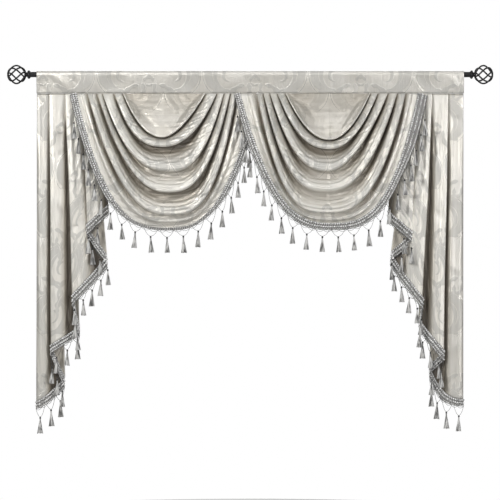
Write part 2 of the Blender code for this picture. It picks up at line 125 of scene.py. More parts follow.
BEAD_RADIUS = 0.0032
TASSEL_LENGTH = 0.055
SKIRT_RADIUS = 0.0078
NECK_LENGTH = 0.012
TASSEL_CLEARANCE = 0.0015
TASSEL_FULLNESS = 1.22
TASSEL_LEANS = ((-0.05, 0.0), (-0.07, 0.07), (0.0, tau))
TASSEL_SIZES = (0.94, 1.04)
GOLDEN_ANGLE = radians(137.5)
WAIST_RADIUS = 0.62
WAIST_HEIGHT = 0.45
STRAND_SPREADS = (0.70, 1.08)
STRAND_LENGTHS = (0.93, 1.0)
WINDING_TURNS = 7.0
WINDING_RADIUS = 0.0006
CORE_TOP = 0.9
CORE_FOOT = 0.86
THINNEST_CORD = 0.2
STRING_STAND = 0.0012
STRING_SPREAD = 0.42
STRING_SAG = 0.25
SCALLOPS_PER_TASSEL = 2.0
SCALLOP_SAG = 0.0065
STEEPEST_LEVEL = 0.0003
SEARCH_START_Y = -0.4
SEARCH_STEPS = 13

# Where each fringe starts and ends along its hem, how far apart its tassels are and how far they drop
Fringe = namedtuple("Fringe", "name first last pitch first_drop last_drop steep")
TAIL_LEFT_FRINGE = Fringe("fringe_tail_left", 0.016, 0.030, 0.046, 0.036, 0.014, 1.0)
TAIL_RIGHT_FRINGE = Fringe("fringe_tail_right", 0.016, 0.030, 0.046, 0.036, 0.014, 1.0)
SWAG_LEFT_FRINGE = Fringe("fringe_swag_left", 0.066, 0.150, 0.0575, 0.027, 0.027, 1.4)
SWAG_RIGHT_FRINGE = Fringe("fringe_swag_right", 0.046, 0.030, 0.056, 0.027, 0.027, 1.4)

# A swag's folds from the flat yoke outwards, in millimetres, one row for each lip
Fold = namedtuple(
    "Fold", "left_x right_x bottom_x bottom_z left_power right_power left_y right_y belly ridge"
)
LEFT_SWAG = (
    Fold(-444, -162, -305, -220, 2.15, 1.65, -8, -8, 34, 16),
    Fold(-472, -120, -305, -252, 2.7, 2.2, -8, -8, 40, 22),
    Fold(-516, -95, -274, -336, 2.7, 2.5, -8, -8, 44, 25),
    Fold(-533, -73, -288, -411, 2.25, 2.8, -8, -8, 46, 27),
    Fold(-569, -50, -288, -490, 2.35, 3.3, -8, -7, 42, 22),
    Fold(-590, -15, -288, -516, 2.6, 3.0, -9, -4, 36, 10),
    Fold(-612, 25, -280, -541, 3.0, 2.6, -9, -3, 30, 5),
)
RIGHT_SWAG = (
    Fold(127, 419, 278, -229, 2.1, 1.9, -9, -8, 36, 16),
    Fold(99, 444, 280, -260, 2.55, 2.05, -9, -8, 42, 22),
    Fold(72, 480, 273, -336, 2.55, 1.8, -10, -8, 46, 25),
    Fold(49, 512, 269, -406, 2.95, 2.3, -11, -8, 48, 27),
    Fold(26, 543, 269, -483, 3.1, 2.75, -12, -8, 44, 22),
    Fold(-6, 566, 275, -510, 2.85, 3.0, -12, -9, 38, 10),
    Fold(-38, 590, 279, -524, 2.6, 3.1, -13, -9, 32, 5),
)
YOKE_INSET = 12
CAD_HALF_COLUMNS = 9
SEAM_REACH = 0.070
SEAM_GAP = 0.0008
SEAM_STACK = 6.6
SEAM_REAR = -1.4
LEFT_SWAG_LEAN = (0.6, 0.3)
RIGHT_SWAG_LEAN = (1.1, 0.7)

# How wide the braid is along a swag's hem
BraidWidth = namedtuple("BraidWidth", "share width")
SWAG_LEFT_BRAID = (
    BraidWidth(0.0, 0.021),
    BraidWidth(0.30, 0.019),
    BraidWidth(0.42, 0.007),
    BraidWidth(0.60, 0.007),
    BraidWidth(0.70, 0.018),
    BraidWidth(1.0, 0.022),
)
SWAG_RIGHT_BRAID = (
    BraidWidth(0.0, 0.018),
    BraidWidth(0.15, 0.023),
    BraidWidth(0.75, 0.023),
    BraidWidth(0.86, 0.033),
    BraidWidth(1.0, 0.033),
)

# A tail's vertical folds from its outer edge inwards, in millimetres
Pleat = namedtuple("Pleat", "top_x hem_x hem_z forward")
LEFT_TAIL = (
    Pleat(-749, -751, -1150, 0.75),
    Pleat(-672, -652, -1062, 0.0),
    Pleat(-706, -699, -952, 1.0),
    Pleat(-618, -600, -884, 0.0),
    Pleat(-650, -624, -778, 1.0),
    Pleat(-560, -504, -632, 0.0),
    Pleat(-592, -574, -530, 1.0),
    Pleat(-512, -500, -452, 0.1),
)
RIGHT_TAIL = (
    Pleat(749, 748, -1142, 0.75),
    Pleat(668, 630, -1022, 0.0),
    Pleat(696, 680, -972, 1.0),
    Pleat(618, 594, -858, 0.0),
    Pleat(640, 606, -790, 1.0),
    Pleat(566, 496, -622, 0.0),
    Pleat(586, 569, -556, 1.0),
    Pleat(508, 486, -474, 0.1),
)

# How square the outer corner of each tail's hem is
LEFT_CORNER = 1.3
RIGHT_CORNER = 2.5

# A pleat's depth at its rear and front, at the seam and at the hem, in metres
PLEAT_SPAN_TOP = (0.0115, 0.0030)
PLEAT_SPAN_HEM = (0.020, -0.020)
PLEAT_BULGE = 0.006
PLEAT_ROUND_TOP = 0.0016
PLEAT_ROUND_HEM = 0.0030
CAD_PANEL_SHARES = (0.0, 0.25, 0.5, 0.75, 1.0)
PANEL_HEM_START = 0.04
PANEL_HEM_END = 0.93
REAR_SWELL = 0.25
TAIL_DROP = -LEFT_TAIL[0].hem_z * MM + SEAM_Z

# Fineness of the cloth
SWAG_HALF_COLUMNS = 84
YOKE_STEPS = 26
FOLD_STEPS = 34
FLANK_STEPS = 160
PANEL_STEPS = 26
FOLD_TURNS = (60, 30, 0, -30, -60)
TAIL_LEVELS = 110
HEADER_STATIONS = 301
HEADER_DROP_STEPS = 14
BRAID_STEPS = 6

# Small folds that are nowhere even: height, longest run and narrowest width, in metres
Streak = namedtuple("Streak", "height longest narrowest")
SWAG_STREAKS = (Streak(0.0013, 0.9, 0.011), Streak(0.0007, 0.25, 0.006))
TAIL_STREAKS = (Streak(0.0007, 0.9, 0.011), Streak(0.0004, 0.4, 0.007))
HEADER_STREAKS = (Streak(0.0003, 0.3, 0.02),)
HEADER_STREAK_SLANT = (0.6, 0.4)
STREAK_WAVES = 9
STREAK_LENGTHS = (0.35, 1.0)
STREAK_WIDTHS = (1.0, 3.2)
STREAK_PATCHES = 0.38
PATCH_RATES = ((9.0, 23.0, 1.0), (5.0, -41.0, 2.0))
SWAG_STREAK_ONSET = 0.030
TAIL_STREAK_ONSET = 0.10
TAIL_SWAY = 0.0016
TAIL_SWAY_RATE = 8.0

# One fold from its lip down to the next, as pairs: share of the way, share of the ridge's height.
# On the flanks the groove is narrow and the ridge broad, at the belly the groove opens, and a calm
# fold is hardly a fold at all.
FLANK_PROFILE = (
    (0.0, 1.0), (0.050, 0.94), (0.078, 0.74), (0.080, 0.44), (0.070, 0.16),
    (0.090, 0.0), (0.140, -0.06), (0.190, 0.0), (0.230, 0.18), (0.270, 0.42),
    (0.330, 0.62), (0.410, 0.76), (0.490, 0.84), (0.570, 0.95), (0.650, 1.02),
    (0.730, 1.02), (0.800, 1.05), (0.870, 1.08), (0.940, 1.06), (1.0, 1.0),
)
BELLY_PROFILE = (
    (0.0, 1.0), (0.030, 0.90), (0.034, 0.66), (0.018, 0.36), (0.004, 0.14),
    (0.030, 0.0), (0.100, -0.04), (0.200, 0.0), (0.300, 0.06), (0.380, 0.20),
    (0.450, 0.25), (0.530, 0.48), (0.600, 0.57), (0.660, 0.62), (0.720, 0.86),
    (0.780, 0.96), (0.840, 0.95), (0.900, 1.0), (0.950, 1.06), (1.0, 1.0),
)
CALM_DIP = 0.30
CALM_STEPS = 19
CALM_PROFILE = tuple(
    (step / CALM_STEPS, 1.0 - CALM_DIP * sin(pi * step / CALM_STEPS)) for step in range(CALM_STEPS + 1)
)
FLANK_START = 0.16
FLANK_FULL = 0.62
CALM_WIDTH = 0.36

# How calm each fold is at its middle and all along, and how far its belly keeps the narrow groove.
# Then how far the groove opens on the left and right flank, and how dark the shade painted into it is there.
FoldMood = namedtuple("FoldMood", "calm flat narrow left_open right_open left_dark right_dark")
LEFT_MOODS = (
    FoldMood(0.0, 0.0, 0.8, 0.10, 0.10, 1.0, 1.0),
    FoldMood(0.0, 0.0, 0.15, 0.10, 0.15, 1.0, 1.0),
    FoldMood(0.55, 0.0, 0.0, 0.25, 0.15, 0.95, 1.0),
    FoldMood(0.20, 0.0, 0.0, 0.40, 0.20, 0.95, 1.0),
    FoldMood(0.75, 0.1, 0.0, 0.90, 0.50, 1.05, 1.05),
    FoldMood(0.80, 0.65, 0.0, 0.30, 0.40, 0.30, 0.45),
)
RIGHT_MOODS = (
    FoldMood(0.0, 0.0, 0.75, 0.15, 0.15, 1.0, 1.05),
    FoldMood(0.10, 0.0, 0.15, 0.10, 0.15, 0.95, 1.05),
    FoldMood(0.50, 0.0, 0.0, 0.20, 0.35, 1.05, 1.10),
    FoldMood(0.60, 0.0, 0.0, 0.30, 0.35, 1.0, 1.10),
    FoldMood(0.85, 0.1, 0.0, 0.90, 0.90, 1.00, 1.20),
    FoldMood(0.80, 0.65, 0.0, 0.30, 0.30, 0.25, 0.35),
)
# Shade painted on a swag: its amount on the yoke, less at the yoke's middle and fading towards the first
# lip; then how much of the painted fold shade is kept at the swag's middle and how far that reaches, and how
# much near the seam and how far that reaches
YOKE_SHADE = 0.72
YOKE_MIDDLE = 0.6
YOKE_FADE = 0.35
MIDDLE_DARK = 0.85
MIDDLE_REACH = 0.3
SEAM_DARK = 0.70
SEAM_DARK_REACH = 0.16

# Creases listed one by one, as lines on the front view in millimetres. Height is forward, and a
# trough's is negative.
CREASE_ENDS = 0.35
Crease = namedtuple("Crease", "x0 z0 x1 z1 width height")
LEFT_SWAG_CREASES = (
    Crease(-424, -74, -306, -84, 9, 3.0),
    Crease(-392, -92, -290, -120, 12, 2.6),
    Crease(-287, -70, -247, -118, 6, -2.6),
    Crease(-247, -118, -252, -165, 7, -2.2),
    Crease(-236, -92, -214, -74, 9, 2.4),
    Crease(-180, -78, -236, -160, 5, 3.0),
    Crease(-200, -84, -262, -176, 5, -2.4),
    Crease(-430, -110, -352, -196, 10, 3.0),
    Crease(-402, -110, -334, -184, 7, -2.2),
    Crease(-352, -128, -300, -206, 16, 2.6),
    Crease(-270, -206, -296, -170, 9, 2.0),
    Crease(-500, -160, -452, -306, 7, 3.2),
    Crease(-556, -120, -520, -262, 6, -3.2),
    Crease(-540, -150, -470, -372, 8, 3.2),
    Crease(-470, -330, -392, -430, 9, 3.0),
    Crease(-150, -130, -206, -300, 6, 3.4),
    Crease(-128, -150, -178, -322, 5, -3.2),
    Crease(-104, -180, -150, -372, 6, 3.4),
    Crease(-206, -262, -262, -292, 7, 2.2),
    Crease(-178, -340, -250, -388, 7, 2.8),
    Crease(-160, -418, -250, -470, 7, 3.2),
    Crease(-350, -330, -236, -338, 7, 2.2),
    Crease(-340, -352, -230, -362, 6, -2.0),
    Crease(-360, -382, -246, -392, 6, 1.8),
    Crease(-330, -432, -216, -420, 8, 2.2),
    Crease(-340, -452, -204, -446, 6, -2.2),
    Crease(-392, -480, -290, -506, 6, 2.0),
    Crease(-292, -498, -190, -482, 6, 2.2),
)
RIGHT_SWAG_CREASES = (
    Crease(150, -80, 214, -166, 8, 3.2),
    Crease(176, -80, 236, -168, 6, -2.4),
    Crease(176, -96, 250, -104, 8, 2.2),
    Crease(250, -100, 330, -116, 7, 2.2),
    Crease(330, -118, 352, -150, 8, -2.2),
    Crease(396, -84, 330, -188, 5, 3.0),
    Crease(374, -96, 312, -196, 5, -2.6),
    Crease(352, -180, 270, -212, 6, 2.4),
    Crease(270, -150, 300, -200, 18, 2.2),
    Crease(118, -100, 186, -228, 6, 3.0),
    Crease(60, -130, 128, -310, 6, 3.2),
    Crease(34, -110, 96, -300, 6, -3.0),
    Crease(20, -160, 92, -366, 8, 3.2),
    Crease(84, -340, 168, -440, 8, 3.0),
    Crease(430, -110, 352, -256, 6, 3.4),
    Crease(462, -120, 392, -300, 6, 3.2),
    Crease(446, -140, 376, -300, 5, -3.0),
    Crease(506, -130, 452, -320, 6, 3.4),
    Crease(540, -110, 500, -300, 6, -3.0),
    Crease(420, -340, 330, -402, 7, 3.0),
    Crease(372, -268, 300, -300, 7, 2.2),
    Crease(216, -336, 330, -344, 7, 2.2),
    Crease(212, -362, 318, -370, 6, -2.0),
    Crease(226, -424, 344, -430, 8, 2.2),
    Crease(216, -448, 330, -452, 6, -2.0),
    Crease(170, -470, 262, -494, 6, 2.2),
    Crease(300, -494, 392, -462, 6, 2.2),
)
HEADER_CREASES = (
    Crease(-742, -4, -706, -62, 7, 1.6),
    Crease(-716, 2, -664, -58, 6, -1.5),
    Crease(-690, 4, -628, -60, 8, 1.8),
    Crease(-648, 2, -600, -40, 7, -1.3),
    Crease(-560, -6, -530, -58, 10, 1.0),
    Crease(-430, 0, -392, -50, 8, 0.9),
    Crease(-210, -6, -178, -60, 9, 0.9),
    Crease(60, -8, 98, -60, 10, 0.8),
    Crease(330, -4, 300, -56, 8, 0.9),
    Crease(560, -4, 604, -60, 10, 0.9),
    Crease(700, -2, 738, -58, 8, 1.2),
)
LEFT_TAIL_CREASES = (
    Crease(-700, -170, -640, -210, 9, 2.0),
    Crease(-700, -300, -636, -262, 9, -1.8),
    Crease(-690, -420, -640, -500, 12, 1.8),
    Crease(-640, -560, -600, -520, 9, -1.6),
    Crease(-744, -620, -712, -560, 10, 1.6),
    Crease(-742, -880, -706, -940, 10, 1.6),
    Crease(-690, -760, -650, -800, 10, 1.6),
)
RIGHT_TAIL_CREASES = (
    Crease(744, -170, 700, -140, 9, -1.8),
    Crease(744, -420, 704, -452, 10, 1.8),
    Crease(690, -250, 650, -330, 9, 1.8),
    Crease(680, -520, 640, -470, 10, -1.6),
    Crease(744, -700, 700, -660, 10, 1.6),
    Crease(742, -930, 690, -980, 12, 1.6),
    Crease(630, -420, 600, -500, 8, 1.6),
)

# Soft flutes down the front panels of a tail: height in millimetres, at a share of the panel's width
Flute = namedtuple("Flute", "panel share width height")
LEFT_FLUTES = (
    Flute(0, 0.14, 0.07, 2.6),
    Flute(0, 0.34, 0.06, 1.6),
    Flute(2, 0.15, 0.06, 3.0),
    Flute(2, 0.50, 0.09, 1.8),
    Flute(4, 0.14, 0.05, 3.0),
    Flute(4, 0.42, 0.08, 2.4),
    Flute(6, 0.14, 0.06, 2.6),
    Flute(6, 0.52, 0.10, 2.0),
)
RIGHT_FLUTES = (
    Flute(0, 0.12, 0.06, 2.8),
    Flute(0, 0.42, 0.07, 2.2),
    Flute(2, 0.16, 0.06, 3.0),
    Flute(2, 0.46, 0.09, 2.8),
    Flute(4, 0.13, 0.05, 3.0),
    Flute(4, 0.40, 0.08, 1.8),
    Flute(6, 0.15, 0.06, 2.8),
    Flute(6, 0.50, 0.10, 1.8),
)
FLUTE_RISE = 1.3
# A tail's valleys: how far the shade painted into each front panel reaches, the even painted shade on rear
# panels and its amount at a valley's top, how deep and wide each valley is carved back and how soon, and how
# soon the painted shade widens and darkens down the tail
VALLEY_SHADE_REACH = (0.30, 0.60)
REAR_SHADE = 0.62
VALLEY_SHADE_START = 0.40
VALLEY_DEPTH = 0.008
VALLEY_WIDTH = 0.16
VALLEY_ONSET = 3.0
VALLEY_SHADE_SPREAD = 1.6
VALLEY_SHADE_ONSET = 5.0
# How soon the flutes and the rolled fold edges come in down the tail, and how far back and how wide the
# edges roll
FLUTE_ONSET = 6.0
EDGE_ROLL_ONSET = 1.8
EDGE_ROLL = (0.0020, 0.0100)
EDGE_ROLL_REACH = (0.0060, 0.0140)

# The damask's leaves and scrolls in one half of a repeat, in millimetres and degrees. Each is a
# tapered stroke along an arc, and lobes notch its edge like a leaf's.
Stroke = namedtuple("Stroke", "x y radius start sweep width lobes")
DAMASK_LEAVES = (
    Stroke(88, 122, 58, 104, 172, 33, 0),
    Stroke(98, 118, 22, 90, 190, 9, 0),
    Stroke(24, 152, 58, -24, 100, 16, 4),
    Stroke(-14, 212, 66, -66, 88, 15, 4),
    Stroke(64, 238, 46, 150, 122, 12, 3),
    Stroke(0, 268, 15, 0, 358, 11, 5),
    Stroke(122, 186, 50, 56, 156, 13, 3),
    Stroke(152, 30, 54, 92, 120, 12, 3),
)
DAMASK_LINES = (
    Stroke(88, 122, 85, 110, 150, 3.0, 0),
    Stroke(90, 122, 52, 110, 130, 2.4, 0),
    Stroke(24, 152, 60, -14, 84, 2.6, 0),
    Stroke(122, 186, 52, 66, 136, 2.6, 0),
)
DAMASK_AXIS = -0.5415
DAMASK_LIFT = 0.118
STROKE_RISE = 0.45
STROKE_FALL = 0.8
STROKE_FULLNESS = 1.7
LOBE_DEPTH = 0.26
LINE_CUT = -1.6

# Relief of the satin in metres, and how its lines and figure change its gloss
LINE_SCALE = (5.0, 150.0, 1.0)
LINE_HEIGHT = 0.0007
THREAD_HEIGHT = 0.00003
FIGURE_HEIGHT = 0.0004
FIGURE_DULLNESS = 0.12
LINE_DULLNESS = 0.18
REVERSE_DULLNESS = 0.16

# Where the satin's tones begin and end: its warm clouds, pull lines, and the shade painted into the folds,
# which turns near black deep in them
CLOUD_SCALE = 9.0
CLOUD_RANGE = (0.35, 0.65)
LINE_RANGE = (0.42, 0.30)
LINE_SHADE = 0.22
OUTLINE_STRENGTH = -0.5
PAINTED_SHADE_RANGE = (0.10, 0.85)
PAINTED_DEEP_SHADE_RANGE = (0.62, 1.05)
PAINTED_DEEP_SHADE_STRENGTH = 0.92
SATIN_SHEEN = {
    "Metallic": 0.42,
    "Specular IOR Level": 0.9,
    "Coat Weight": 0.35,
    "Coat Roughness": 0.26,
    "Sheen Weight": 0.25,
    "Sheen Roughness": 0.4,
}

# The satin weave: each weft thread is tied down two fifths of a repeat further on, and yarn is slubbed
TIE_STEP = 0.4
TIE_RATE = 0.2
TIE_HEIGHT = 0.35
SLUB_SCALE = (9.0, 420.0, 1.0)

# Twisted thread: how much darker and lighter its plies are, and where the shades begin and end. On the
# tassels the darker streaks are also painted shade between the strands
THREAD_SCALE = 190.0
THREAD_DARK = 0.26
THREAD_LIGHT = 1.35
THREAD_RANGE = (0.38, 0.56)
THREAD_RELIEF = (0.4, 0.0003)

# Black paint: the scale of its grain, how much lighter it is where worn, and its relief
PAINT_GRAIN = 60.0
PAINT_WEAR = 2.6
PAINT_WORN_RANGE = (0.4, 0.75)
PAINT_RELIEF = (0.15, 0.0002)
PAINT_GLOSS = {"Metallic": 0.0, "Specular IOR Level": 0.3, "Coat Weight": 0.08}

# Braid: half a herringbone, one ply and one row, in metres
HERRINGBONE = 0.0060
BRAID_PLY = 0.0078
BRAID_ROW = 0.0056
BRAID_ROW_SHADE = 0.35
BRAID_ROUGHNESS = (0.72, 0.52)
BRAID_RELIEF = (0.6, 0.0004)

# Cords on the braid: place across it, size and slant of the plies
Rope = namedtuple("Rope", "share size slant")
ROPES = (
    Rope(0.14, 1.0, radians(42)),
    Rope(0.52, 1.0, radians(-42)),
    Rope(0.88, 0.55, radians(42)),
)
PLY_LENGTH = 1.45
PLY_THICKNESS = 0.43

# The cut size of each cloth, width and length in metres, and the share that the slanted cut leaves
SheetCut = namedtuple("SheetCut", "width length share")

Light = namedtuple("Light", "name place width height power colour")
STAGE_LIGHTS = (
    Light("key", (-2.3, -2.7, 0.8), 0.6, 1.5, 150.0, (1.0, 0.99, 0.97)),
    Light("top", (0.2, -1.5, 2.2), 2.0, 0.35, 34.0, (1.0, 1.0, 1.0)),
    Light("right", (2.6, -2.4, 0.0), 0.4, 2.2, 90.0, (1.0, 0.99, 0.98)),
    Light("front", (0.3, -6.0, 1.2), 2.4, 1.2, 90.0, (1.0, 1.0, 1.0)),
    Light("back", (0.0, 3.0, 0.9), 2.4, 1.8, 120.0, (1.0, 1.0, 1.0)),
)
LIGHT_AIM = (0.0, 0.0, -0.5)
FLOOR_TONES = ((0.78, 0.78, 0.77, 1.0), (0.82, 0.82, 0.81, 1.0))


def blend(low, high, share):
    return low + (high - low) * share


def hump(distance, width):
    return np.exp(-((distance / width) ** 2))


def smooth(share):
    """Eases a share between 0 and 1 in and out."""
    share = np.clip(share, 0.0, 1.0)
    return share * share * (3.0 - 2.0 * share)


def evenly(points, count):
    """Resamples a polyline to count + 1 points at even distances."""
    steps = np.linalg.norm(np.diff(points, axis=0), axis=1)
    reach = np.concatenate(([0.0], np.cumsum(steps)))
    wanted = np.linspace(0.0, reach[-1], count + 1)
    columns = [np.interp(wanted, reach, points[:, axis]) for axis in range(points.shape[1])]
    return np.stack(columns, axis=1)


def curve_through(rows, count):
    """A smooth curve through rows of numbers, as count + 1 samples."""
    rows = np.array(rows, dtype=float)
    padded = np.vstack((2 * rows[0] - rows[1], rows, 2 * rows[-1] - rows[-2]))
    samples = []
    for place in np.linspace(0.0, len(rows) - 1, count + 1):
        number = min(int(place), len(rows) - 2)
        t = place - number
        before, start, end, after = padded[number:number + 4]
        samples.append(
            0.5
            * (
                2 * start
                + (end - before) * t
                + (2 * before - 5 * start + 4 * end - after) * t * t
                + (3 * start - before - 3 * end + after) * t**3
            )
        )
    return np.array(samples)


def reach_along(grid, axis):
    """Distance travelled along the rows or columns of a grid of points."""
    steps = np.linalg.norm(np.diff(grid, axis=axis), axis=2)
    start = np.zeros_like(np.take(steps, [0], axis=axis))
    return np.concatenate((start, np.cumsum(steps, axis=axis)), axis=axis)


def streak(along, across, seed, longest, narrowest):
    """Uneven folds of about unit height, long one way and narrow the other."""
    chance = np.random.default_rng(seed)
    total = np.zeros_like(along)
    for _ in range(STREAK_WAVES):
        length = longest * chance.uniform(*STREAK_LENGTHS)
        width = narrowest * chance.uniform(*STREAK_WIDTHS)
        total += np.sin(tau * (along / length + across / width) + chance.uniform(0.0, tau))
    first, second = (
        np.sin(along * rate_along + across * rate_across + seed * turn)
        for rate_along, rate_across, turn in PATCH_RATES
    )
    return total / STREAK_WAVES**0.5 * blend(1.0, first * second, STREAK_PATCHES)


def streaks(along, across, seed, rows):
    """Streaks of several sizes, one over the other, in metres."""
    layers = [
        row.height * streak(along, across, seed + number, row.longest, row.narrowest)
        for number, row in enumerate(rows)
    ]
    return sum(layers)


def crease_lift(grid, creases):
    """How far forward the listed creases push each point of a sheet."""
    x, z = grid[..., 0] / MM, grid[..., 2] / MM
    lift = np.zeros_like(x)
    for crease in creases:
        run_x, run_z = crease.x1 - crease.x0, crease.z1 - crease.z0
        share = ((x - crease.x0) * run_x + (z - crease.z0) * run_z) / (run_x**2 + run_z**2)
        held = np.clip(share, 0.0, 1.0)
        gap = np.hypot(x - crease.x0 - held * run_x, z - crease.z0 - held * run_z)
        fade = blend(CREASE_ENDS, 1.0, np.sin(pi * held))
        lift += crease.height * MM * fade * hump(gap, crease.width)
    return lift


def new_object(name, data):
    """An object in the scene that holds a mesh, curve, light or camera."""
    obj = bpy.data.objects.new(name, data)
    bpy.context.scene.collection.objects.link(obj)
    return obj


def sheet_object(name, grid, texture, groove, flip=False, closed=False):
    """A mesh over a grid of points, with cloth coordinates as UVs and the amount of shade to paint into its
    folds as an attribute.
    """
    rows, columns = grid.shape[:2]
    across = columns if closed else columns - 1
    row, column = np.meshgrid(np.arange(rows - 1), np.arange(across), indexing="ij")
    corners = [(row, column), (row + 1, column), (row + 1, column + 1), (row, column + 1)]
    if flip:
        corners.reverse()
    faces = np.stack([(r * columns + c % columns).ravel() for r, c in corners], axis=1)
    mesh = bpy.data.meshes.new(name)
    mesh.from_pydata(grid.reshape(-1, 3).tolist(), [], faces.tolist())
    layer = mesh.uv_layers.new(name="cloth")
    places = np.stack([texture[r, c].reshape(-1, 2) for r, c in corners], axis=1)
    layer.data.foreach_set("uv", places.astype(np.float32).ravel())
    depth = mesh.attributes.new("groove", "FLOAT", "POINT")
    depth.data.foreach_set("value", groove.astype(np.float32).ravel())
    mesh.shade_smooth()
    mesh.update()
    return new_object(name, mesh)


def thicken(obj, thickness):
    """Gives a sheet a thickness. Its last material is that of its back."""
    modifier = obj.modifiers.new("thickness", "SOLIDIFY")
    modifier.thickness = thickness
    modifier.offset = 0.0
    modifier.material_offset = len(obj.data.materials) - 1
    modifier.material_offset_rim = 0


def finish_cloth(obj, face):
    """Gives a cloth its face, its duller back and its thickness, and puts it on the frame."""
    obj.data.materials.append(face)
    obj.data.materials.append(satin("satin_reverse"))
    thicken(obj, CLOTH)
    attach(obj, ROOT)
    return obj


def evaluated_mesh(obj):
    """A plain mesh of the object with its modifiers applied."""
    graph = bpy.context.evaluated_depsgraph_get()
    return bpy.data.meshes.new_from_object(obj.evaluated_get(graph))


def made_plain(obj):
    """Replaces the object, a curve or a mesh with modifiers, by an object with its finished mesh."""
    name = obj.name
    mesh = evaluated_mesh(obj)
    bpy.data.objects.remove(obj)
    mesh.name = name
    return new_object(name, mesh)


def join_meshes(name, objects):
    """One object that holds the meshes of several, which are removed. Their materials are kept."""
    materials = []
    made = bmesh.new()
    for obj in objects:
        mesh = obj.data
        slots = []
        for material in mesh.materials:
            if material not in materials:
                materials.append(material)
            slots.append(materials.index(material))
        before = len(made.faces)
        made.from_mesh(mesh)
        made.faces.ensure_lookup_table()
        for face in made.faces[before:]:
            face.material_index = slots[face.material_index] if slots else 0
    result = bpy.data.meshes.new(name)
    made.to_mesh(result)
    made.free()
    for material in materials:
        result.materials.append(material)
    for obj in objects:
        bpy.data.objects.remove(obj)
    return new_object(name, result)


class Sketch:
    """Adds nodes to a tree and links them, one call for each node."""

    def __init__(self, tree):
        self.tree = tree

    def add(self, kind, *inputs, out=0, **settings):
        made = self.tree.nodes.new(kind)
        for name, value in settings.items():
            setattr(made, name, value)
        for socket, value in zip(made.inputs, inputs):
            self.feed(socket, value)
        return made.outputs[out]

    def named(self, kind, values, out=0, **settings):
        """As add, with the inputs given by their sockets' names."""
        made = self.tree.nodes.new(kind)
        for name, value in settings.items():
            setattr(made, name, value)
        for name, value in values.items():
            self.feed(made.inputs[name], value)
        return made.outputs[out]

    def feed(self, socket, value):
        if value is None:
            return
        if isinstance(value, bpy.types.NodeSocket):
            self.tree.links.new(value, socket)
        else:
            socket.default_value = value

    def math(self, operation, *values, clamp=False):
        return self.add("ShaderNodeMath", *values, operation=operation, use_clamp=clamp)

    def split(self, value):
        """The parts of a vector, as sockets named X, Y and Z."""
        made = self.tree.nodes.new("ShaderNodeSeparateXYZ")
        self.feed(made.inputs[0], value)
        return made.outputs

    def noise(self, place, scale, detail):
        return self.named("ShaderNodeTexNoise", {"Vector": place, "Scale": scale, "Detail": detail})

    def relief(self, shader, height, strength, distance):
        values = {"Strength": strength, "Distance": distance, "Height": height}
        self.feed(shader.inputs["Normal"], self.named("ShaderNodeBump", values))

    def vector(self, operation, *values, out=0):
        return self.add("ShaderNodeVectorMath", *values, operation=operation, out=out)

    def ramp(self, value, low, high, start=0.0, end=1.0):
        return self.add("ShaderNodeMapRange", value, low, high, start, end, clamp=True)

    def mix_colour(self, share, first, second):
        values = (share, None, None, None, None, None, first, second)
        return self.add("ShaderNodeMix", *values, out=2, data_type="RGBA", clamp_factor=True)

    def group(self, tree, **values):
        """Places a shader group. An underscore in a value's name stands for a space."""
        made = self.tree.nodes.new("ShaderNodeGroup")
        made.node_tree = tree
        for name, value in values.items():
            self.feed(made.inputs[name.replace("_", " ")], value)
        return made.outputs[0]

    def ring(self, resolution, radius):
        values = {"Resolution": resolution, "Radius": radius}
        return self.named("GeometryNodeCurvePrimitiveCircle", values, mode="RADIUS")

    def raised(self, geometry, height):
        place = self.add("ShaderNodeCombineXYZ", 0.0, 0.0, height)
        return self.named("GeometryNodeTransform", {"Geometry": geometry, "Translation": place})

    def chance(self, low, high, seed):
        values = {"Min": low, "Max": high, "Seed": seed}
        return self.named("FunctionNodeRandomValue", values, out=1, data_type="FLOAT")

    def attribute(self, name):
        return self.named("GeometryNodeInputNamedAttribute", {"Name": name}, data_type="FLOAT_VECTOR")

    def realize(self, geometry, material, target):
        """Ends a geometry tree: its instances become real and get their material."""
        real = self.named("GeometryNodeRealizeInstances", {"Geometry": geometry})
        finished = self.named("GeometryNodeSetMaterial", {"Geometry": real, "Material": material})
        self.feed(target.inputs["Geometry"], finished)


def new_group(name, kind, inputs, outputs):
    """An empty node group with named sockets.

    Returns its sketch, its input sockets by name and its output node.
    """
    tree = bpy.data.node_groups.new(name, kind)
    for label, socket, value in inputs:
        made = tree.interface.new_socket(label, in_out="INPUT", socket_type=socket)
        if value is not None:
            made.default_value = value
    for label, socket in outputs:
        tree.interface.new_socket(label, in_out="OUTPUT", socket_type=socket)
    source = tree.nodes.new("NodeGroupInput")
    target = tree.nodes.new("NodeGroupOutput")
    return Sketch(tree), {label: source.outputs[label] for label, _, _ in inputs}, target


def once(maker):
    """Keeps what a maker returns, so that a shared group or material is built only once."""
    kept = {}

    def made(*values):
        if values not in kept:
            kept[values] = maker(*values)
        return kept[values]

    return made


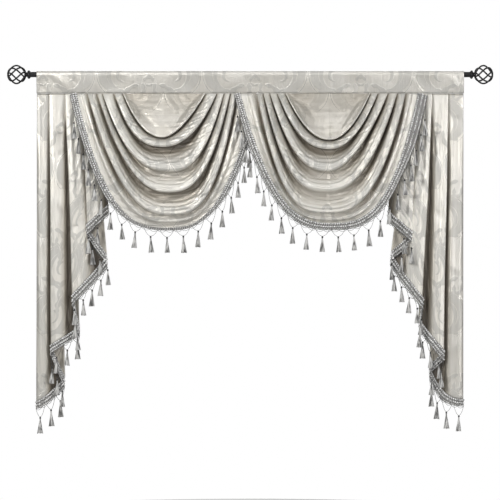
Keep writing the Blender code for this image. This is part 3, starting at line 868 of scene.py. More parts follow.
@once
def stroke_group():
    """A tapered stroke along an arc, with notched edges, as a mask."""
    inputs = (
        ("Place", "NodeSocketVector", None),
        ("Centre", "NodeSocketVector", None),
        ("Radius", "NodeSocketFloat", 60.0),
        ("Start", "NodeSocketFloat", 0.0),
        ("Sweep", "NodeSocketFloat", 3.0),
        ("Width", "NodeSocketFloat", 8.0),
        ("Lobes", "NodeSocketFloat", 0.0),
        ("Softness", "NodeSocketFloat", 2.5),
    )
    outputs = (("Mask", "NodeSocketFloat"),)
    sketch, given, target = new_group("damask stroke", "ShaderNodeTree", inputs, outputs)
    offset = sketch.vector("SUBTRACT", given["Place"], given["Centre"])
    parts = sketch.split(offset)
    turn = sketch.math("ARCTAN2", parts["Y"], parts["X"])
    turn = sketch.math("FLOORED_MODULO", sketch.math("SUBTRACT", turn, given["Start"]), tau)
    share = sketch.math("DIVIDE", turn, given["Sweep"], clamp=True)
    rise = sketch.math("POWER", share, STROKE_RISE)
    fall = sketch.math("POWER", sketch.math("SUBTRACT", 1.0, share), STROKE_FALL)
    lobes = sketch.math("MULTIPLY", share, given["Lobes"])
    notch = sketch.math("SINE", sketch.math("MULTIPLY", lobes, tau))
    notch = sketch.math("MULTIPLY_ADD", notch, LOBE_DEPTH, 1.0)
    taper = sketch.math("MULTIPLY", sketch.math("MULTIPLY", rise, fall), STROKE_FULLNESS)
    half = sketch.math("MULTIPLY", sketch.math("MULTIPLY", taper, notch), given["Width"])
    away = sketch.math("SUBTRACT", sketch.vector("LENGTH", offset, out=1), given["Radius"])
    inside = sketch.math("SUBTRACT", half, sketch.math("ABSOLUTE", away))
    mask = sketch.ramp(inside, 0.0, given["Softness"])
    started = sketch.math("LESS_THAN", sketch.math("DIVIDE", turn, given["Sweep"]), 1.0)
    sketch.feed(target.inputs["Mask"], sketch.math("MULTIPLY", mask, started))
    return sketch.tree


def drawn_strokes(sketch, place, rows):
    """The union of some strokes as one mask."""
    figure = None
    for row in rows:
        mask = sketch.group(
            stroke_group(),
            Place=place,
            Centre=(row.x, row.y, 0.0),
            Radius=row.radius,
            Start=radians(row.start),
            Sweep=radians(row.sweep),
            Width=row.width,
            Lobes=row.lobes,
        )
        figure = mask if figure is None else sketch.math("MAXIMUM", figure, mask)
    return figure


@once
def motif_group():
    """All the leaves of half a repeat, less the light lines along them, as one mask."""
    inputs = (("Place", "NodeSocketVector", None),)
    outputs = (("Figure", "NodeSocketFloat"),)
    sketch, given, target = new_group("damask motif", "ShaderNodeTree", inputs, outputs)
    lines = drawn_strokes(sketch, given["Place"], DAMASK_LINES)
    leaves = drawn_strokes(sketch, given["Place"], DAMASK_LEAVES)
    figure = sketch.math("MULTIPLY_ADD", lines, LINE_CUT, leaves)
    sketch.feed(target.inputs["Figure"], figure)
    return sketch.tree


@once
def damask_group():
    """A mirrored damask with each second column dropped by half a repeat.

    It is 1 on leaves and below 0 on light lines.
    """
    inputs = (
        ("Place", "NodeSocketVector", None),
        ("Repeat Width", "NodeSocketFloat", 0.372),
        ("Repeat Height", "NodeSocketFloat", 0.340),
    )
    outputs = (("Figure", "NodeSocketFloat"),)
    sketch, given, target = new_group("damask", "ShaderNodeTree", inputs, outputs)
    parts = sketch.split(given["Place"])
    half = sketch.math("MULTIPLY", given["Repeat Width"], 0.5)
    across = sketch.math("PINGPONG", parts["X"], half)
    height = given["Repeat Height"]
    figures = []
    for mirrored, shift in ((False, 0.0), (True, 0.5)):
        side = sketch.math("SUBTRACT", half, across) if mirrored else across
        rise = sketch.math("MULTIPLY_ADD", height, shift, parts["Y"])
        rise = sketch.math("FLOORED_MODULO", rise, height)
        place = sketch.add("ShaderNodeCombineXYZ", side, rise, 0.0)
        scaled = sketch.vector("MULTIPLY", place, (1.0 / MM, 1.0 / MM, 0.0))
        figures.append(sketch.group(motif_group(), Place=scaled))
    whole = sketch.math("ADD", *figures)
    sketch.feed(target.inputs["Figure"], sketch.ramp(whole, -1.0, 1.0, -1.0, 1.0))
    return sketch.tree


@once
def weave_group():
    """The threads of a satin weave with uneven, slubbed yarn, as a height."""
    inputs = (
        ("Place", "NodeSocketVector", None),
        ("Pitch", "NodeSocketFloat", 0.0006),
        ("Slub", "NodeSocketFloat", 0.5),
    )
    outputs = (("Height", "NodeSocketFloat"),)
    sketch, given, target = new_group("satin weave", "ShaderNodeTree", inputs, outputs)
    parts = sketch.split(given["Place"])
    weft = sketch.math("DIVIDE", parts["Y"], given["Pitch"])
    warp = sketch.math("DIVIDE", parts["X"], given["Pitch"])
    threads = sketch.math("SINE", sketch.math("MULTIPLY", weft, tau))
    warp_step = sketch.math("MULTIPLY", warp, TIE_RATE)
    tie_step = sketch.math("MULTIPLY_ADD", sketch.math("FLOOR", weft), TIE_STEP, warp_step)
    ties = sketch.math("SINE", sketch.math("MULTIPLY", tie_step, tau))
    woven = sketch.math("MULTIPLY_ADD", ties, TIE_HEIGHT, threads)
    slub = sketch.noise(sketch.vector("MULTIPLY", given["Place"], SLUB_SCALE), 1.0, 3.0)
    slub = sketch.math("SUBTRACT", slub, 0.5)
    sketch.feed(target.inputs["Height"], sketch.math("MULTIPLY_ADD", slub, given["Slub"], woven))
    return sketch.tree


def new_material(name):
    """A material with a Principled shader. Returns it with its sketch and the shader."""
    material = bpy.data.materials.new(name)
    material.use_nodes = True
    shader = material.node_tree.nodes["Principled BSDF"]
    return material, Sketch(material.node_tree), shader


def set_constants(shader, values):
    for name, value in values.items():
        shader.inputs[name].default_value = value


@once
def satin(name):
    """The satin jacquard: its face with the pull lines across or along the cloth, or its duller back."""
    cloth = bpy.context.scene.valance_cloth
    material, sketch, shader = new_material(name)
    place = sketch.add("ShaderNodeUVMap", uv_map="cloth")
    repeat = {"Repeat_Width": cloth.repeat_width, "Repeat_Height": cloth.repeat_height}
    figure = sketch.group(damask_group(), Place=place, **repeat)
    weave = sketch.group(weave_group(), Place=place, Pitch=cloth.thread_pitch)
    along, across, depth = LINE_SCALE
    pull = LINE_SCALE if name == "satin_across" else (across, along, depth)
    lines = sketch.noise(sketch.vector("MULTIPLY", place, pull), 1.0, 4.0)
    clouds = sketch.noise(place, CLOUD_SCALE, 2.0)
    # How much shade is painted on each point, read from the mesh
    groove = sketch.add("ShaderNodeAttribute", attribute_name="groove", out=2)

    colour = sketch.mix_colour(sketch.ramp(clouds, *CLOUD_RANGE), cloth.satin_colour, cloth.warm_colour)
    drawn = sketch.math("MULTIPLY", figure, cloth.figure_strength, clamp=True)
    colour = sketch.mix_colour(drawn, colour, cloth.figure_colour)
    outlined = sketch.math("MULTIPLY", figure, OUTLINE_STRENGTH, clamp=True)
    colour = sketch.mix_colour(outlined, colour, cloth.line_colour)
    streaked = sketch.ramp(lines, *LINE_RANGE, 0.0, LINE_SHADE)
    colour = sketch.mix_colour(streaked, colour, cloth.figure_colour)
    # Painted shade: the colour darkens towards brown in the folds and towards near black deepest in them
    shaded = sketch.math("MULTIPLY", sketch.ramp(groove, *PAINTED_SHADE_RANGE), cloth.painted_shade_strength)
    colour = sketch.mix_colour(shaded, colour, cloth.painted_shade_colour)
    painted_deep_shade = sketch.ramp(groove, *PAINTED_DEEP_SHADE_RANGE, 0.0, PAINTED_DEEP_SHADE_STRENGTH)
    colour = sketch.mix_colour(painted_deep_shade, colour, cloth.painted_deep_shade_colour)
    sketch.feed(shader.inputs["Base Color"], colour)

    dullness = REVERSE_DULLNESS if name == "satin_reverse" else 0.0
    rough = sketch.math("MULTIPLY_ADD", figure, FIGURE_DULLNESS, cloth.roughness + dullness)
    rough = sketch.math("MULTIPLY_ADD", sketch.math("SUBTRACT", lines, 0.5), LINE_DULLNESS, rough)
    sketch.feed(shader.inputs["Roughness"], rough)

    height = sketch.math("MULTIPLY", lines, LINE_HEIGHT)
    height = sketch.math("MULTIPLY_ADD", weave, THREAD_HEIGHT, height)
    height = sketch.math("MULTIPLY_ADD", sketch.math("MAXIMUM", figure, 0.0), FIGURE_HEIGHT, height)
    sketch.relief(shader, height, 1.0, 1.0)
    set_constants(shader, SATIN_SHEEN)
    return material


@once
def thread_material(name, colour, ribs, roughness, stretch):
    """Twisted thread of one colour, lighter and darker from ply to ply.

    Stretch draws its shades out downwards. On the tassels, drawn out into streaks, the darker shades are
    also painted shade for the gaps between the strands.
    """
    material, sketch, shader = new_material(name)
    place = sketch.add("ShaderNodeTexCoord", out=3)
    drawn = sketch.vector("MULTIPLY", place, (1.0, 1.0, stretch))
    spots = sketch.noise(drawn, THREAD_SCALE, 2.0)
    dark = tuple(THREAD_DARK * value for value in colour) + (1.0,)
    light = tuple(min(THREAD_LIGHT * value, 1.0) for value in colour) + (1.0,)
    shade = sketch.mix_colour(sketch.ramp(spots, *THREAD_RANGE), dark, light)
    sketch.feed(shader.inputs["Base Color"], shade)
    rough = sketch.ramp(spots, 0.0, 1.0, roughness - 0.1, roughness + 0.1)
    sketch.feed(shader.inputs["Roughness"], rough)
    values = {"Vector": place, "Scale": ribs, "Distortion": 1.5, "Detail": 1.0}
    sketch.relief(shader, sketch.named("ShaderNodeTexWave", values), *THREAD_RELIEF)
    set_constants(shader, {"Sheen Weight": 0.2})
    return material


@once
def braid_material():
    """A flat braid woven in a herringbone of light and dark threads. The dark threads also paint the shade
    where the ribbon shows between the cords.
    """
    trim = bpy.context.scene.valance_trim
    material, sketch, shader = new_material("braid_thread")
    place = sketch.add("ShaderNodeUVMap", uv_map="cloth")
    parts = sketch.split(place)
    bent = sketch.math("PINGPONG", parts["Y"], HERRINGBONE)
    slant = sketch.math("ADD", parts["X"], bent)
    plies = sketch.math("SINE", sketch.math("MULTIPLY", slant, tau / BRAID_PLY))
    rows = sketch.math("SINE", sketch.math("MULTIPLY", parts["Y"], tau / BRAID_ROW))
    shade = sketch.math("MULTIPLY_ADD", rows, BRAID_ROW_SHADE, plies)
    # The dark threads also stand for painted shade between the cords
    colour = sketch.mix_colour(sketch.ramp(shade, -1.0, 1.0), trim.braid_dark_threads_and_shade, trim.braid_colour)
    sketch.feed(shader.inputs["Base Color"], colour)
    sketch.feed(shader.inputs["Roughness"], sketch.ramp(shade, -1.0, 1.0, *BRAID_ROUGHNESS))
    sketch.relief(shader, shade, *BRAID_RELIEF)
    return material


@once
def metal_material():
    """Satin black paint over steel, a little worn to grey."""
    metal = bpy.context.scene.valance_metal
    material, sketch, shader = new_material("black_metal")
    place = sketch.add("ShaderNodeTexCoord", out=3)
    grain = sketch.noise(place, PAINT_GRAIN, 5.0)
    worn = tuple(PAINT_WEAR * value for value in metal.colour[:3]) + (1.0,)
    paint = sketch.mix_colour(sketch.ramp(grain, *PAINT_WORN_RANGE), metal.colour, worn)
    sketch.feed(shader.inputs["Base Color"], paint)
    rough = sketch.ramp(grain, 0.3, 0.7, metal.roughness - 0.06, metal.roughness + 0.1)
    sketch.feed(shader.inputs["Roughness"], rough)
    sketch.relief(shader, grain, *PAINT_RELIEF)
    set_constants(shader, PAINT_GLOSS)
    return material


def trim_thread(name):
    """The thread of the cords, tassels, strings or beads."""
    trim = bpy.context.scene.valance_trim
    looks = {
        "cord_thread": (trim.cord_colour, 900.0, 0.6, 1.0),
        # On the tassels the thread's shades are stretched into streaks, partly painted shade for the gaps
        # between strands
        "tassel_thread": (trim.tassel_colour, 700.0, 0.62, 0.10),
        # The strings' dark colour is partly painted shadow under the braid
        "string_thread": (trim.string_and_shadow_colour, 900.0, 0.7, 1.0),
        "bead_thread": (trim.bead_colour, 500.0, 0.45, 1.0),
    }
    colour, ribs, roughness, stretch = looks[name]
    return thread_material(name, tuple(colour)[:3], ribs, roughness, stretch)


def flank(top_x, fold, power, columns):
    """One side of a hanging fold, from the seam down to its lowest point, at even distances."""
    out = np.cos(0.5 * pi * np.linspace(0.0, 1.0, FLANK_STEPS + 1))
    x = (fold.bottom_x + (top_x - fold.bottom_x) * out) * MM
    z = blend(fold.bottom_z * MM, SEAM_Z - SEAM_GAP, out**power)
    return evenly(np.stack((x, z), axis=1), columns)


def swag_row(fold, forward, leans, columns):
    """The points of one row, which stands forward with its share of the ridge, away from the seam."""
    sides = []
    ends = ((fold.left_x, fold.left_power, fold.left_y), (fold.right_x, fold.right_power, fold.right_y))
    for (top_x, power, seam_y), lean in zip(ends, leans):
        places = flank(top_x, fold, power, columns)
        half_length = np.linalg.norm(np.diff(places, axis=0), axis=1).sum()
        share = np.linspace(0.0, 1.0, columns + 1)
        away = 1.0 - np.exp(-share * half_length / SEAM_REACH)
        belly = fold.belly * blend(lean, 1.0, smooth(share)) * away
        ridge = fold.ridge * forward * away
        stack = blend(min(seam_y + SEAM_STACK, SEAM_REAR), seam_y, forward)
        y = (stack - belly - ridge) * MM
        sides.append(np.stack((places[:, 0], y, places[:, 1]), axis=1))
    left, right = sides
    return np.vstack((left, right[-2::-1]))


def mixed_fold(upper, lower, share):
    return Fold(*[blend(low, high, share) for low, high in zip(upper, lower)])


def fold_block(upper, lower, profile, leans):
    """The rows of one fold along one profile, and how far each is from its ridge."""
    rows = [
        swag_row(mixed_fold(upper, lower, along), forward, leans, SWAG_HALF_COLUMNS)
        for along, forward in profile
    ]
    return np.array(rows), np.clip(1.0 - profile[:, 1:], 0.0, 1.0)


def yoke_block(yoke, leans, side):
    """The rows of the flat yoke, from the straight seam to the first lip, and the shade painted on them."""
    straight = yoke._replace(
        left_x=yoke.left_x + YOKE_INSET,
        right_x=yoke.right_x - YOKE_INSET,
        bottom_z=SEAM_Z / MM,
        left_power=2.0,
        right_power=2.0,
        left_y=SEAM_REAR,
        right_y=SEAM_REAR,
        belly=0.0,
        ridge=0.0,
    )
    shares = np.linspace(0.0, 1.0, YOKE_STEPS + 1)[:-1]
    rows = [
        swag_row(mixed_fold(straight, yoke, share), smooth(share), leans, SWAG_HALF_COLUMNS)
        for share in shares
    ]
    shade = YOKE_SHADE * blend(YOKE_MIDDLE, 1.0, side)[None, :]
    return np.array(rows), shade * (1.0 - YOKE_FADE * smooth(shares))[:, None]


def swag_grid(folds, leans, moods):
    """A swag's surface from its straight seam to its hem, and how much shade is painted on each point, most
    where it lies deep in a fold.
    """
    place = np.linspace(-1.0, 1.0, 2 * SWAG_HALF_COLUMNS + 1)
    side = np.abs(place)
    rows, shade = yoke_block(folds[0], leans, side)
    blocks, painted_shades = [rows], [shade]
    seam_shade = blend(SEAM_DARK, 1.0, smooth((1.0 - side) / SEAM_DARK_REACH))[None, :]
    profiles = [curve_through(rows, FOLD_STEPS) for rows in (BELLY_PROFILE, FLANK_PROFILE, CALM_PROFILE)]
    for number, (upper, lower, mood) in enumerate(zip(folds, folds[1:], moods)):
        (belly, open_depth), (narrow, narrow_depth), (calm, calm_depth) = [
            fold_block(upper, lower, profile, leans) for profile in profiles
        ]
        closed = 1.0 - np.where(place < 0.0, mood.left_open, mood.right_open)
        flanks = closed * smooth((side - FLANK_START) / (FLANK_FULL - FLANK_START))
        flanks = np.maximum(flanks, mood.narrow)[None, :]
        calmness = np.maximum(mood.calm * hump(side, CALM_WIDTH), mood.flat)[None, :]
        # How dark the shade painted into this fold is on each flank, at the middle and near the seam
        darkness = (mood.left_dark, MIDDLE_DARK, mood.right_dark)
        dark = np.interp(place, (-MIDDLE_REACH, 0.0, MIDDLE_REACH), darkness)[None, :]
        block = blend(blend(belly, narrow, flanks[..., None]), calm, calmness[..., None])
        groove = blend(blend(open_depth, narrow_depth, flanks), calm_depth, calmness) * dark * seam_shade
        keep = FOLD_STEPS + (number == len(folds) - 2)
        blocks.append(block[:keep])
        painted_shades.append(groove[:keep])
    return np.concatenate(blocks), np.concatenate(painted_shades)


def build_swag(name, folds, leans, creases, moods, seed):
    grid, groove = swag_grid(folds, leans, moods)
    along = reach_along(grid, 1)
    middle = grid.shape[1] // 2
    along = along - along[:, middle:middle + 1]
    down = reach_along(grid, 0)
    away = 1.0 - np.exp(-((SEAM_Z - grid[..., 2]) / SWAG_STREAK_ONSET))
    grid[..., 1] -= (streaks(along, down, seed, SWAG_STREAKS) + crease_lift(grid, creases)) * away
    texture = np.stack((along, -down + DAMASK_LIFT), axis=2)
    return finish_cloth(sheet_object(name, grid, texture, groove), satin("satin_across"))


def hem_row(folds, leans, columns):
    return swag_row(folds[-1], 1.0, leans, columns)


def swag_braid(hem, widths, lap=0.0):
    """The braid's inner and outer edges, square to a swag's hem as seen from the front.

    A lap lays it on the cloth.
    """
    slopes = np.gradient(hem[:, (0, 2)], axis=0)
    slopes /= np.linalg.norm(slopes, axis=1)[:, None]
    shares = np.linspace(0.0, 1.0, len(hem))
    width = np.interp(shares, [row.share for row in widths], [row.width for row in widths])
    edges = []
    for reach_out in (-lap if lap else BRAID_GAP, width):
        edge = hem.copy()
        edge[:, 1] -= BRAID_STAND if lap else 0.0
        edge[:, 0] += slopes[:, 1] * reach_out
        edge[:, 2] = np.minimum(hem[:, 2] - slopes[:, 0] * reach_out, SEAM_Z - FIT)
        edges.append(edge)
    return edges


TailColumn = namedtuple("TailColumn", "panel share turn")


def tail_columns(shares, turns):
    """The columns of a pleated tail: places across each panel, and turns round each fold between panels."""
    columns = []
    panels = len(LEFT_TAIL) - 1
    for panel in range(panels):
        columns += [TailColumn(panel, share, None) for share in shares]
        if panel < panels - 1:
            columns += [TailColumn(panel, None, radians(turn)) for turn in turns]
    return columns


def fold_place(pleat, z, rear, front):
    drop = (SEAM_Z - z) / (SEAM_Z - pleat.hem_z * MM)
    return blend(pleat.top_x, pleat.hem_x, drop) * MM, blend(rear, front, pleat.forward)


def covered_from(pleats, panel):
    """The share of a front panel at which the next fold starts to cover it."""
    if panel + 2 >= len(pleats):
        return 1.0
    start = pleats[panel].top_x
    return (pleats[panel + 2].top_x - start) / (pleats[panel + 1].top_x - start)


def tail_place(pleats, column, z, flutes=()):
    """The plan of one column at some heights.

    Folds are rounded, and panels between folds swell forward a little.
    """
    down = np.clip((SEAM_Z - z) / TAIL_DROP, 0.0, 1.0)
    rear, front = (blend(top, foot, down) for top, foot in zip(PLEAT_SPAN_TOP, PLEAT_SPAN_HEM))
    rounding = blend(PLEAT_ROUND_TOP, PLEAT_ROUND_HEM, down)
    panel = column.panel
    x0, y0 = fold_place(pleats[panel], z, rear, front)
    x1, y1 = fold_place(pleats[panel + 1], z, rear, front)
    heading = np.sign(x1 - x0)
    if column.turn is not None:
        x = x1 + heading * rounding * (np.cos(column.turn) - 1.0)
        y = y1 + rounding * np.sin(column.turn)
    else:
        starts_free = panel == 0
        ends_free = panel == len(pleats) - 2
        x_from = x0 if starts_free else x0 + heading * rounding
        x_to = x1 if ends_free else x1 - heading * rounding
        y_from = y0 if starts_free else y0 - rounding
        y_to = y1 if ends_free else y1 + rounding
        swell = PLEAT_BULGE * down * (1.0 if panel % 2 == 0 else REAR_SWELL)
        x = blend(x_from, x_to, column.share)
        y = blend(y_from, y_to, column.share) - swell * np.sin(pi * column.share)
    if flutes and column.turn is None and panel % 2 == 0:
        valley = hump(column.share - covered_from(pleats, panel), VALLEY_WIDTH)
        y = y + VALLEY_DEPTH * smooth(down * VALLEY_ONSET) * valley
    for flute in flutes:
        if column.turn is None and flute.panel == panel:
            rise = FLUTE_RISE * flute.height * MM * hump(column.share - flute.share, flute.width)
            y = y - rise * smooth(down * FLUTE_ONSET)
    if flutes:
        rolled = smooth(down * EDGE_ROLL_ONSET)
        roll = blend(*EDGE_ROLL, rolled)
        reach = blend(*EDGE_ROLL_REACH, rolled)
        for pleat, place in ((pleats[panel], x0), (pleats[panel + 1], x1)):
            if pleat.forward > 0.5:
                y = y + roll * np.exp(-np.abs(x - place) / reach)
    return x, y


def tail_hem(pleats, columns, corner):
    """The hem's height at each column. A higher corner value keeps the outer corner squarer."""
    heights = []
    for column in columns:
        z0, z1 = pleats[column.panel].hem_z * MM, pleats[column.panel + 1].hem_z * MM
        before = blend(z0, z1, PANEL_HEM_END)
        if column.turn is None:
            start = 0.0 if column.panel == 0 else PANEL_HEM_START
            rise = column.share**corner if column.panel == 0 else column.share
            heights.append(blend(z0, z1, blend(start, PANEL_HEM_END, rise)))
        else:
            after = blend(z1, pleats[column.panel + 2].hem_z * MM, PANEL_HEM_START)
            round_share = 0.5 - column.turn / pi
            heights.append(float(np.interp(round_share, (0.0, 0.5, 1.0), (before, z1, after))))
    return np.array(heights)


def stood_off(edge, distance, side):
    """A line moved off the face of the cloth it follows, square to it in plan."""
    run = np.gradient(edge[:, :2], axis=0)
    run /= np.maximum(np.linalg.norm(run, axis=1), TINY)[:, None]
    moved = edge.copy()
    moved[:, 0] += side * distance * run[:, 1]
    moved[:, 1] -= side * distance * run[:, 0]
    return moved


def tail_braid(pleats, columns, hem, flutes=()):
    """The braid's upper and lower edges.

    It keeps its width square to the hem, as far as the steep returns allow.
    """
    places = [tail_place(pleats, column, hem) for column in columns]
    flat = []
    for number, z in enumerate(hem):
        row = np.array([[x[number], y[number]] for x, y in places])
        flat.append((np.linalg.norm(np.diff(row[:number + 1], axis=0), axis=1).sum(), z))
    slopes = np.gradient(np.array(flat), axis=0)
    level = slopes[:, 0] / np.maximum(np.linalg.norm(slopes, axis=1), TINY)
    edges = []
    for upper in (True, False):
        edge = []
        for column, z, share in zip(columns, hem, level):
            at_fold = column.turn is not None or column.share in (0.0, 1.0)
            gap = BRAID_FOLD_GAP if at_fold else BRAID_GAP
            gap = -BRAID_LAP if flutes else gap
            low = z - (gap if upper else BRAID_WIDTH) * min(1.0 / max(share, BRAID_STEEPEST), BRAID_STRETCH)
            x, y = tail_place(pleats, column, np.array(low), flutes)
            edge.append((float(x), float(y), low))
        edges.append(np.array(edge))
    if flutes:
        side = -np.sign(pleats[0].top_x)
        edges = [stood_off(edge, BRAID_STAND, side) for edge in edges]
    return edges


def tail_painted_shade(pleats, column, downs):
    """How much shade is painted on a column: full in its valley, where the next fold starts to cover the
    panel, and an even amount on the rear panels.
    """
    if column.panel % 2:
        return np.full_like(downs, REAR_SHADE)
    if column.share is None:
        return np.zeros_like(downs)
    covered = covered_from(pleats, column.panel)
    reach = blend(*VALLEY_SHADE_REACH, smooth(downs * VALLEY_SHADE_SPREAD)) * covered
    dark = blend(VALLEY_SHADE_START, 1.0, smooth(downs * VALLEY_SHADE_ONSET))
    return smooth((column.share - covered + reach) / reach) * dark


def build_tail(name, pleats, corner, flutes, creases, seed):
    columns = tail_columns(np.linspace(0.0, 1.0, PANEL_STEPS + 1), FOLD_TURNS)
    hem = tail_hem(pleats, columns, corner)
    downs = np.linspace(0.0, 1.0, TAIL_LEVELS)
    grid = np.zeros((TAIL_LEVELS, len(columns), 3))
    groove = np.zeros((TAIL_LEVELS, len(columns)))
    for number, column in enumerate(columns):
        z = blend(SEAM_Z - FIT, hem[number], downs)
        x, y = tail_place(pleats, column, z, flutes)
        grid[:, number] = np.stack((x, y, z), axis=1)
        # The shade painted on this column
        groove[:, number] = tail_painted_shade(pleats, column, downs)
    along = reach_along(grid, 1)
    depth = grid[..., 2]
    free = smooth((SEAM_Z - depth) / TAIL_STREAK_ONSET)
    grid[..., 1] -= (streaks(depth, along, seed, TAIL_STREAKS) + crease_lift(grid, creases)) * free
    sway = TAIL_SWAY * np.sin(depth * TAIL_SWAY_RATE + seed) * free
    grid[..., 0] += sway * np.sin(pi * np.clip(along / along.max(), 0, 1))
    texture = np.stack((along + DAMASK_AXIS, depth + DAMASK_LIFT), axis=2)
    obj = sheet_object(name, grid, texture, groove, flip=pleats[0].top_x > 0)
    return finish_cloth(obj, satin("satin_lengthwise"))


def header_section(x):
    """The middle of the folded band's cloth: over the rod and down to the seam, front and back."""
    crown = ROD_RADIUS + POCKET_CLEARANCE + CLOTH
    foot_z = SEAM_Z + CLOTH / 2.0
    turns = np.radians(np.linspace(*HEADER_TURNS, HEADER_TURN_STEPS))
    front = [(-crown * cos(turn), crown * sin(turn)) for turn in turns]
    shoulder_y, shoulder_z = front[-1]
    sway = HEADER_SWAY * sum(share * sin(rate * x + start) for share, rate, start in HEADER_SWAYS)
    for share in np.linspace(0.0, 1.0, HEADER_DROP_STEPS + 1)[1:]:
        y = blend(shoulder_y, -HEADER_FOOT, share) + sway * sin(pi * share)
        front.append((y, blend(shoulder_z, foot_z, share)))
    back = [(-y, z) for y, z in reversed(front)]
    return [(x, y, z) for y, z in front + back]


def build_header():
    places = np.linspace(-HALF_WIDTH, HALF_WIDTH, HEADER_STATIONS)
    grid = np.array([header_section(x) for x in places])
    around = np.concatenate((grid, grid[:, :1]), axis=1)
    travel = reach_along(around, 1)
    height = travel.max() * 0.5 - travel + DAMASK_LIFT + SEAM_Z
    texture = np.stack((around[..., 0] - DAMASK_AXIS, height), axis=2)
    x, z = grid[..., 0], grid[..., 2]
    front = grid[..., 1] < 0.0
    below_rod = np.clip((ROD_RADIUS - z) / HEADER_FREE_TOP, 0.0, 1.0)
    free = below_rod * np.clip((z - SEAM_Z) / HEADER_FREE_FOOT, 0.0, 1.0)
    down, across = HEADER_STREAK_SLANT
    small = streaks(z * down + x * across, x, 5, HEADER_STREAKS)
    facing = np.where(front, 1.0, HEADER_BACK_SHARE)
    grid[..., 1] -= (crease_lift(grid, HEADER_CREASES) * front + small) * free * facing
    obj = sheet_object("heading_band", grid, texture, np.zeros(grid.shape[:2]), flip=True, closed=True)
    finish_cloth(obj, satin("satin_lengthwise"))
    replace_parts(obj, "header")
    return obj


def turned(name, profile, steps):
    """A closed mesh turned about Z from a profile that runs from the top of the axis to its foot."""
    made = bmesh.new()
    verts = [made.verts.new((radius, 0.0, height)) for radius, height in profile]
    for above, below in zip(verts, verts[1:]):
        made.edges.new((above, below))
    mesh = bpy.data.meshes.new(name)
    made.to_mesh(mesh)
    made.free()
    obj = new_object(name, mesh)
    screw = obj.modifiers.new("turn", "SCREW")
    screw.steps = steps
    screw.render_steps = steps
    screw.use_merge_vertices = True
    screw.merge_threshold = 0.00001
    return made_plain(obj)


def wires(name, lines, radius, sides):
    """Round wires with filled ends along some lines of points, as one mesh."""
    curve = bpy.data.curves.new(name, "CURVE")
    curve.dimensions = "3D"
    curve.bevel_depth = radius
    curve.bevel_resolution = sides
    curve.use_fill_caps = True
    for line in lines:
        spline = curve.splines.new("POLY")
        spline.points.add(len(line) - 1)
        for place, point in zip(spline.points, line):
            place.co = (*point, 1.0)
    plain = made_plain(new_object(name, curve))
    welded = bmesh.new()
    welded.from_mesh(plain.data)
    bmesh.ops.remove_doubles(welded, verts=welded.verts, dist=0.000001)
    bmesh.ops.recalc_face_normals(welded, faces=welded.faces)
    welded.to_mesh(plain.data)
    welded.free()
    plain.data.shade_smooth()
    return plain


def cage_line(turn):
    """The middle of one of the cage's twisted wires, from pole to pole about Z."""
    line = []
    for share in np.linspace(0.0, 1.0, CAGE_POINTS):
        polar = blend(CAGE_POLE, pi - CAGE_POLE, share)
        angle = turn + CAGE_TWIST * (share - 0.5)
        reach = CAGE_RADIUS * sin(polar)
        line.append((reach * cos(angle), reach * sin(angle), CAGE_RADIUS * cos(polar)))
    return line


def build_finial(side, name, node):
    """Collar, cup, twisted cage and tip, with its axis along X."""
    cage_foot = COLLAR_LENGTH + CAGE_SEAT
    cage_centre = cage_foot + CAGE_RADIUS
    tip = cage_centre + CAGE_RADIUS
    outline = (
        (0.0, cage_foot + 2.6 * CAGE_SEAT),
        (CUP_RADIUS * 0.40, cage_foot + 2.5 * CAGE_SEAT),
        (CUP_RADIUS * 0.80, cage_foot + 2.0 * CAGE_SEAT),
        (CUP_RADIUS, cage_foot + CAGE_SEAT),
        (CUP_RADIUS * 0.97, cage_foot),
        (ROD_RADIUS * 0.78, COLLAR_LENGTH * 0.90),
        (ROD_RADIUS * 0.90, COLLAR_LENGTH * 0.82),
        (COLLAR_RADIUS * 0.90, COLLAR_LENGTH * 0.70),
        (COLLAR_RADIUS, COLLAR_LENGTH * 0.58),
        (COLLAR_RADIUS, COLLAR_LENGTH * 0.40),
        (COLLAR_RADIUS * 0.88, COLLAR_LENGTH * 0.27),
        (ROD_RADIUS * 1.05, COLLAR_LENGTH * 0.16),
        (ROD_RADIUS, COLLAR_LENGTH * 0.08),
        (ROD_RADIUS, 0.0),
        (0.0, 0.0),
    )
    cap = (
        (0.0, tip + TIP_LENGTH * 0.5),
        (TIP_RADIUS * 0.4, tip + TIP_LENGTH * 0.38),
        (TIP_RADIUS * 0.8, tip),
        (TIP_RADIUS, tip - TIP_LENGTH * 0.4),
        (TIP_RADIUS * 0.83, tip - TIP_LENGTH * 0.9),
        (0.0, tip - TIP_LENGTH),
    )
    base = turned("collar", outline, COLLAR_STEPS)
    point = turned("tip", cap, TIP_STEPS)
    lines = [cage_line(tau * number / CAGE_WIRES) for number in range(CAGE_WIRES)]
    cage = wires("cage", lines, CAGE_WIRE_RADIUS, 3)
    cage.data.transform(Matrix.Translation((0.0, 0.0, cage_centre)))
    obj = join_meshes(name, [base, point, cage])
    end = Matrix.Translation((side * (ROD_HALF_LENGTH + FIT), 0.0, 0.0))
    obj.data.transform(end @ Matrix.Rotation(side * pi / 2, 4, "Y"))
    obj.data.shade_smooth()
    obj.data.set_sharp_from_angle(angle=radians(50))
    obj.data.materials.clear()
    obj.data.materials.append(metal_material())
    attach(obj, ROOT)
    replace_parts(obj, node)
    return obj


def build_rod():
    bpy.ops.mesh.primitive_cylinder_add(
        vertices=64, radius=ROD_RADIUS, depth=2.0 * ROD_HALF_LENGTH, rotation=(0.0, radians(90), 0.0)
    )
    obj = bpy.context.object
    obj.name = "curtain_rod"
    obj.data.transform(obj.matrix_world)
    obj.matrix_world = Matrix.Identity(4)
    obj.data.shade_smooth()
    obj.data.set_sharp_from_angle(angle=radians(40))
    obj.data.materials.append(metal_material())
    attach(obj, ROOT)
    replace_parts(obj, "rod")
    return obj


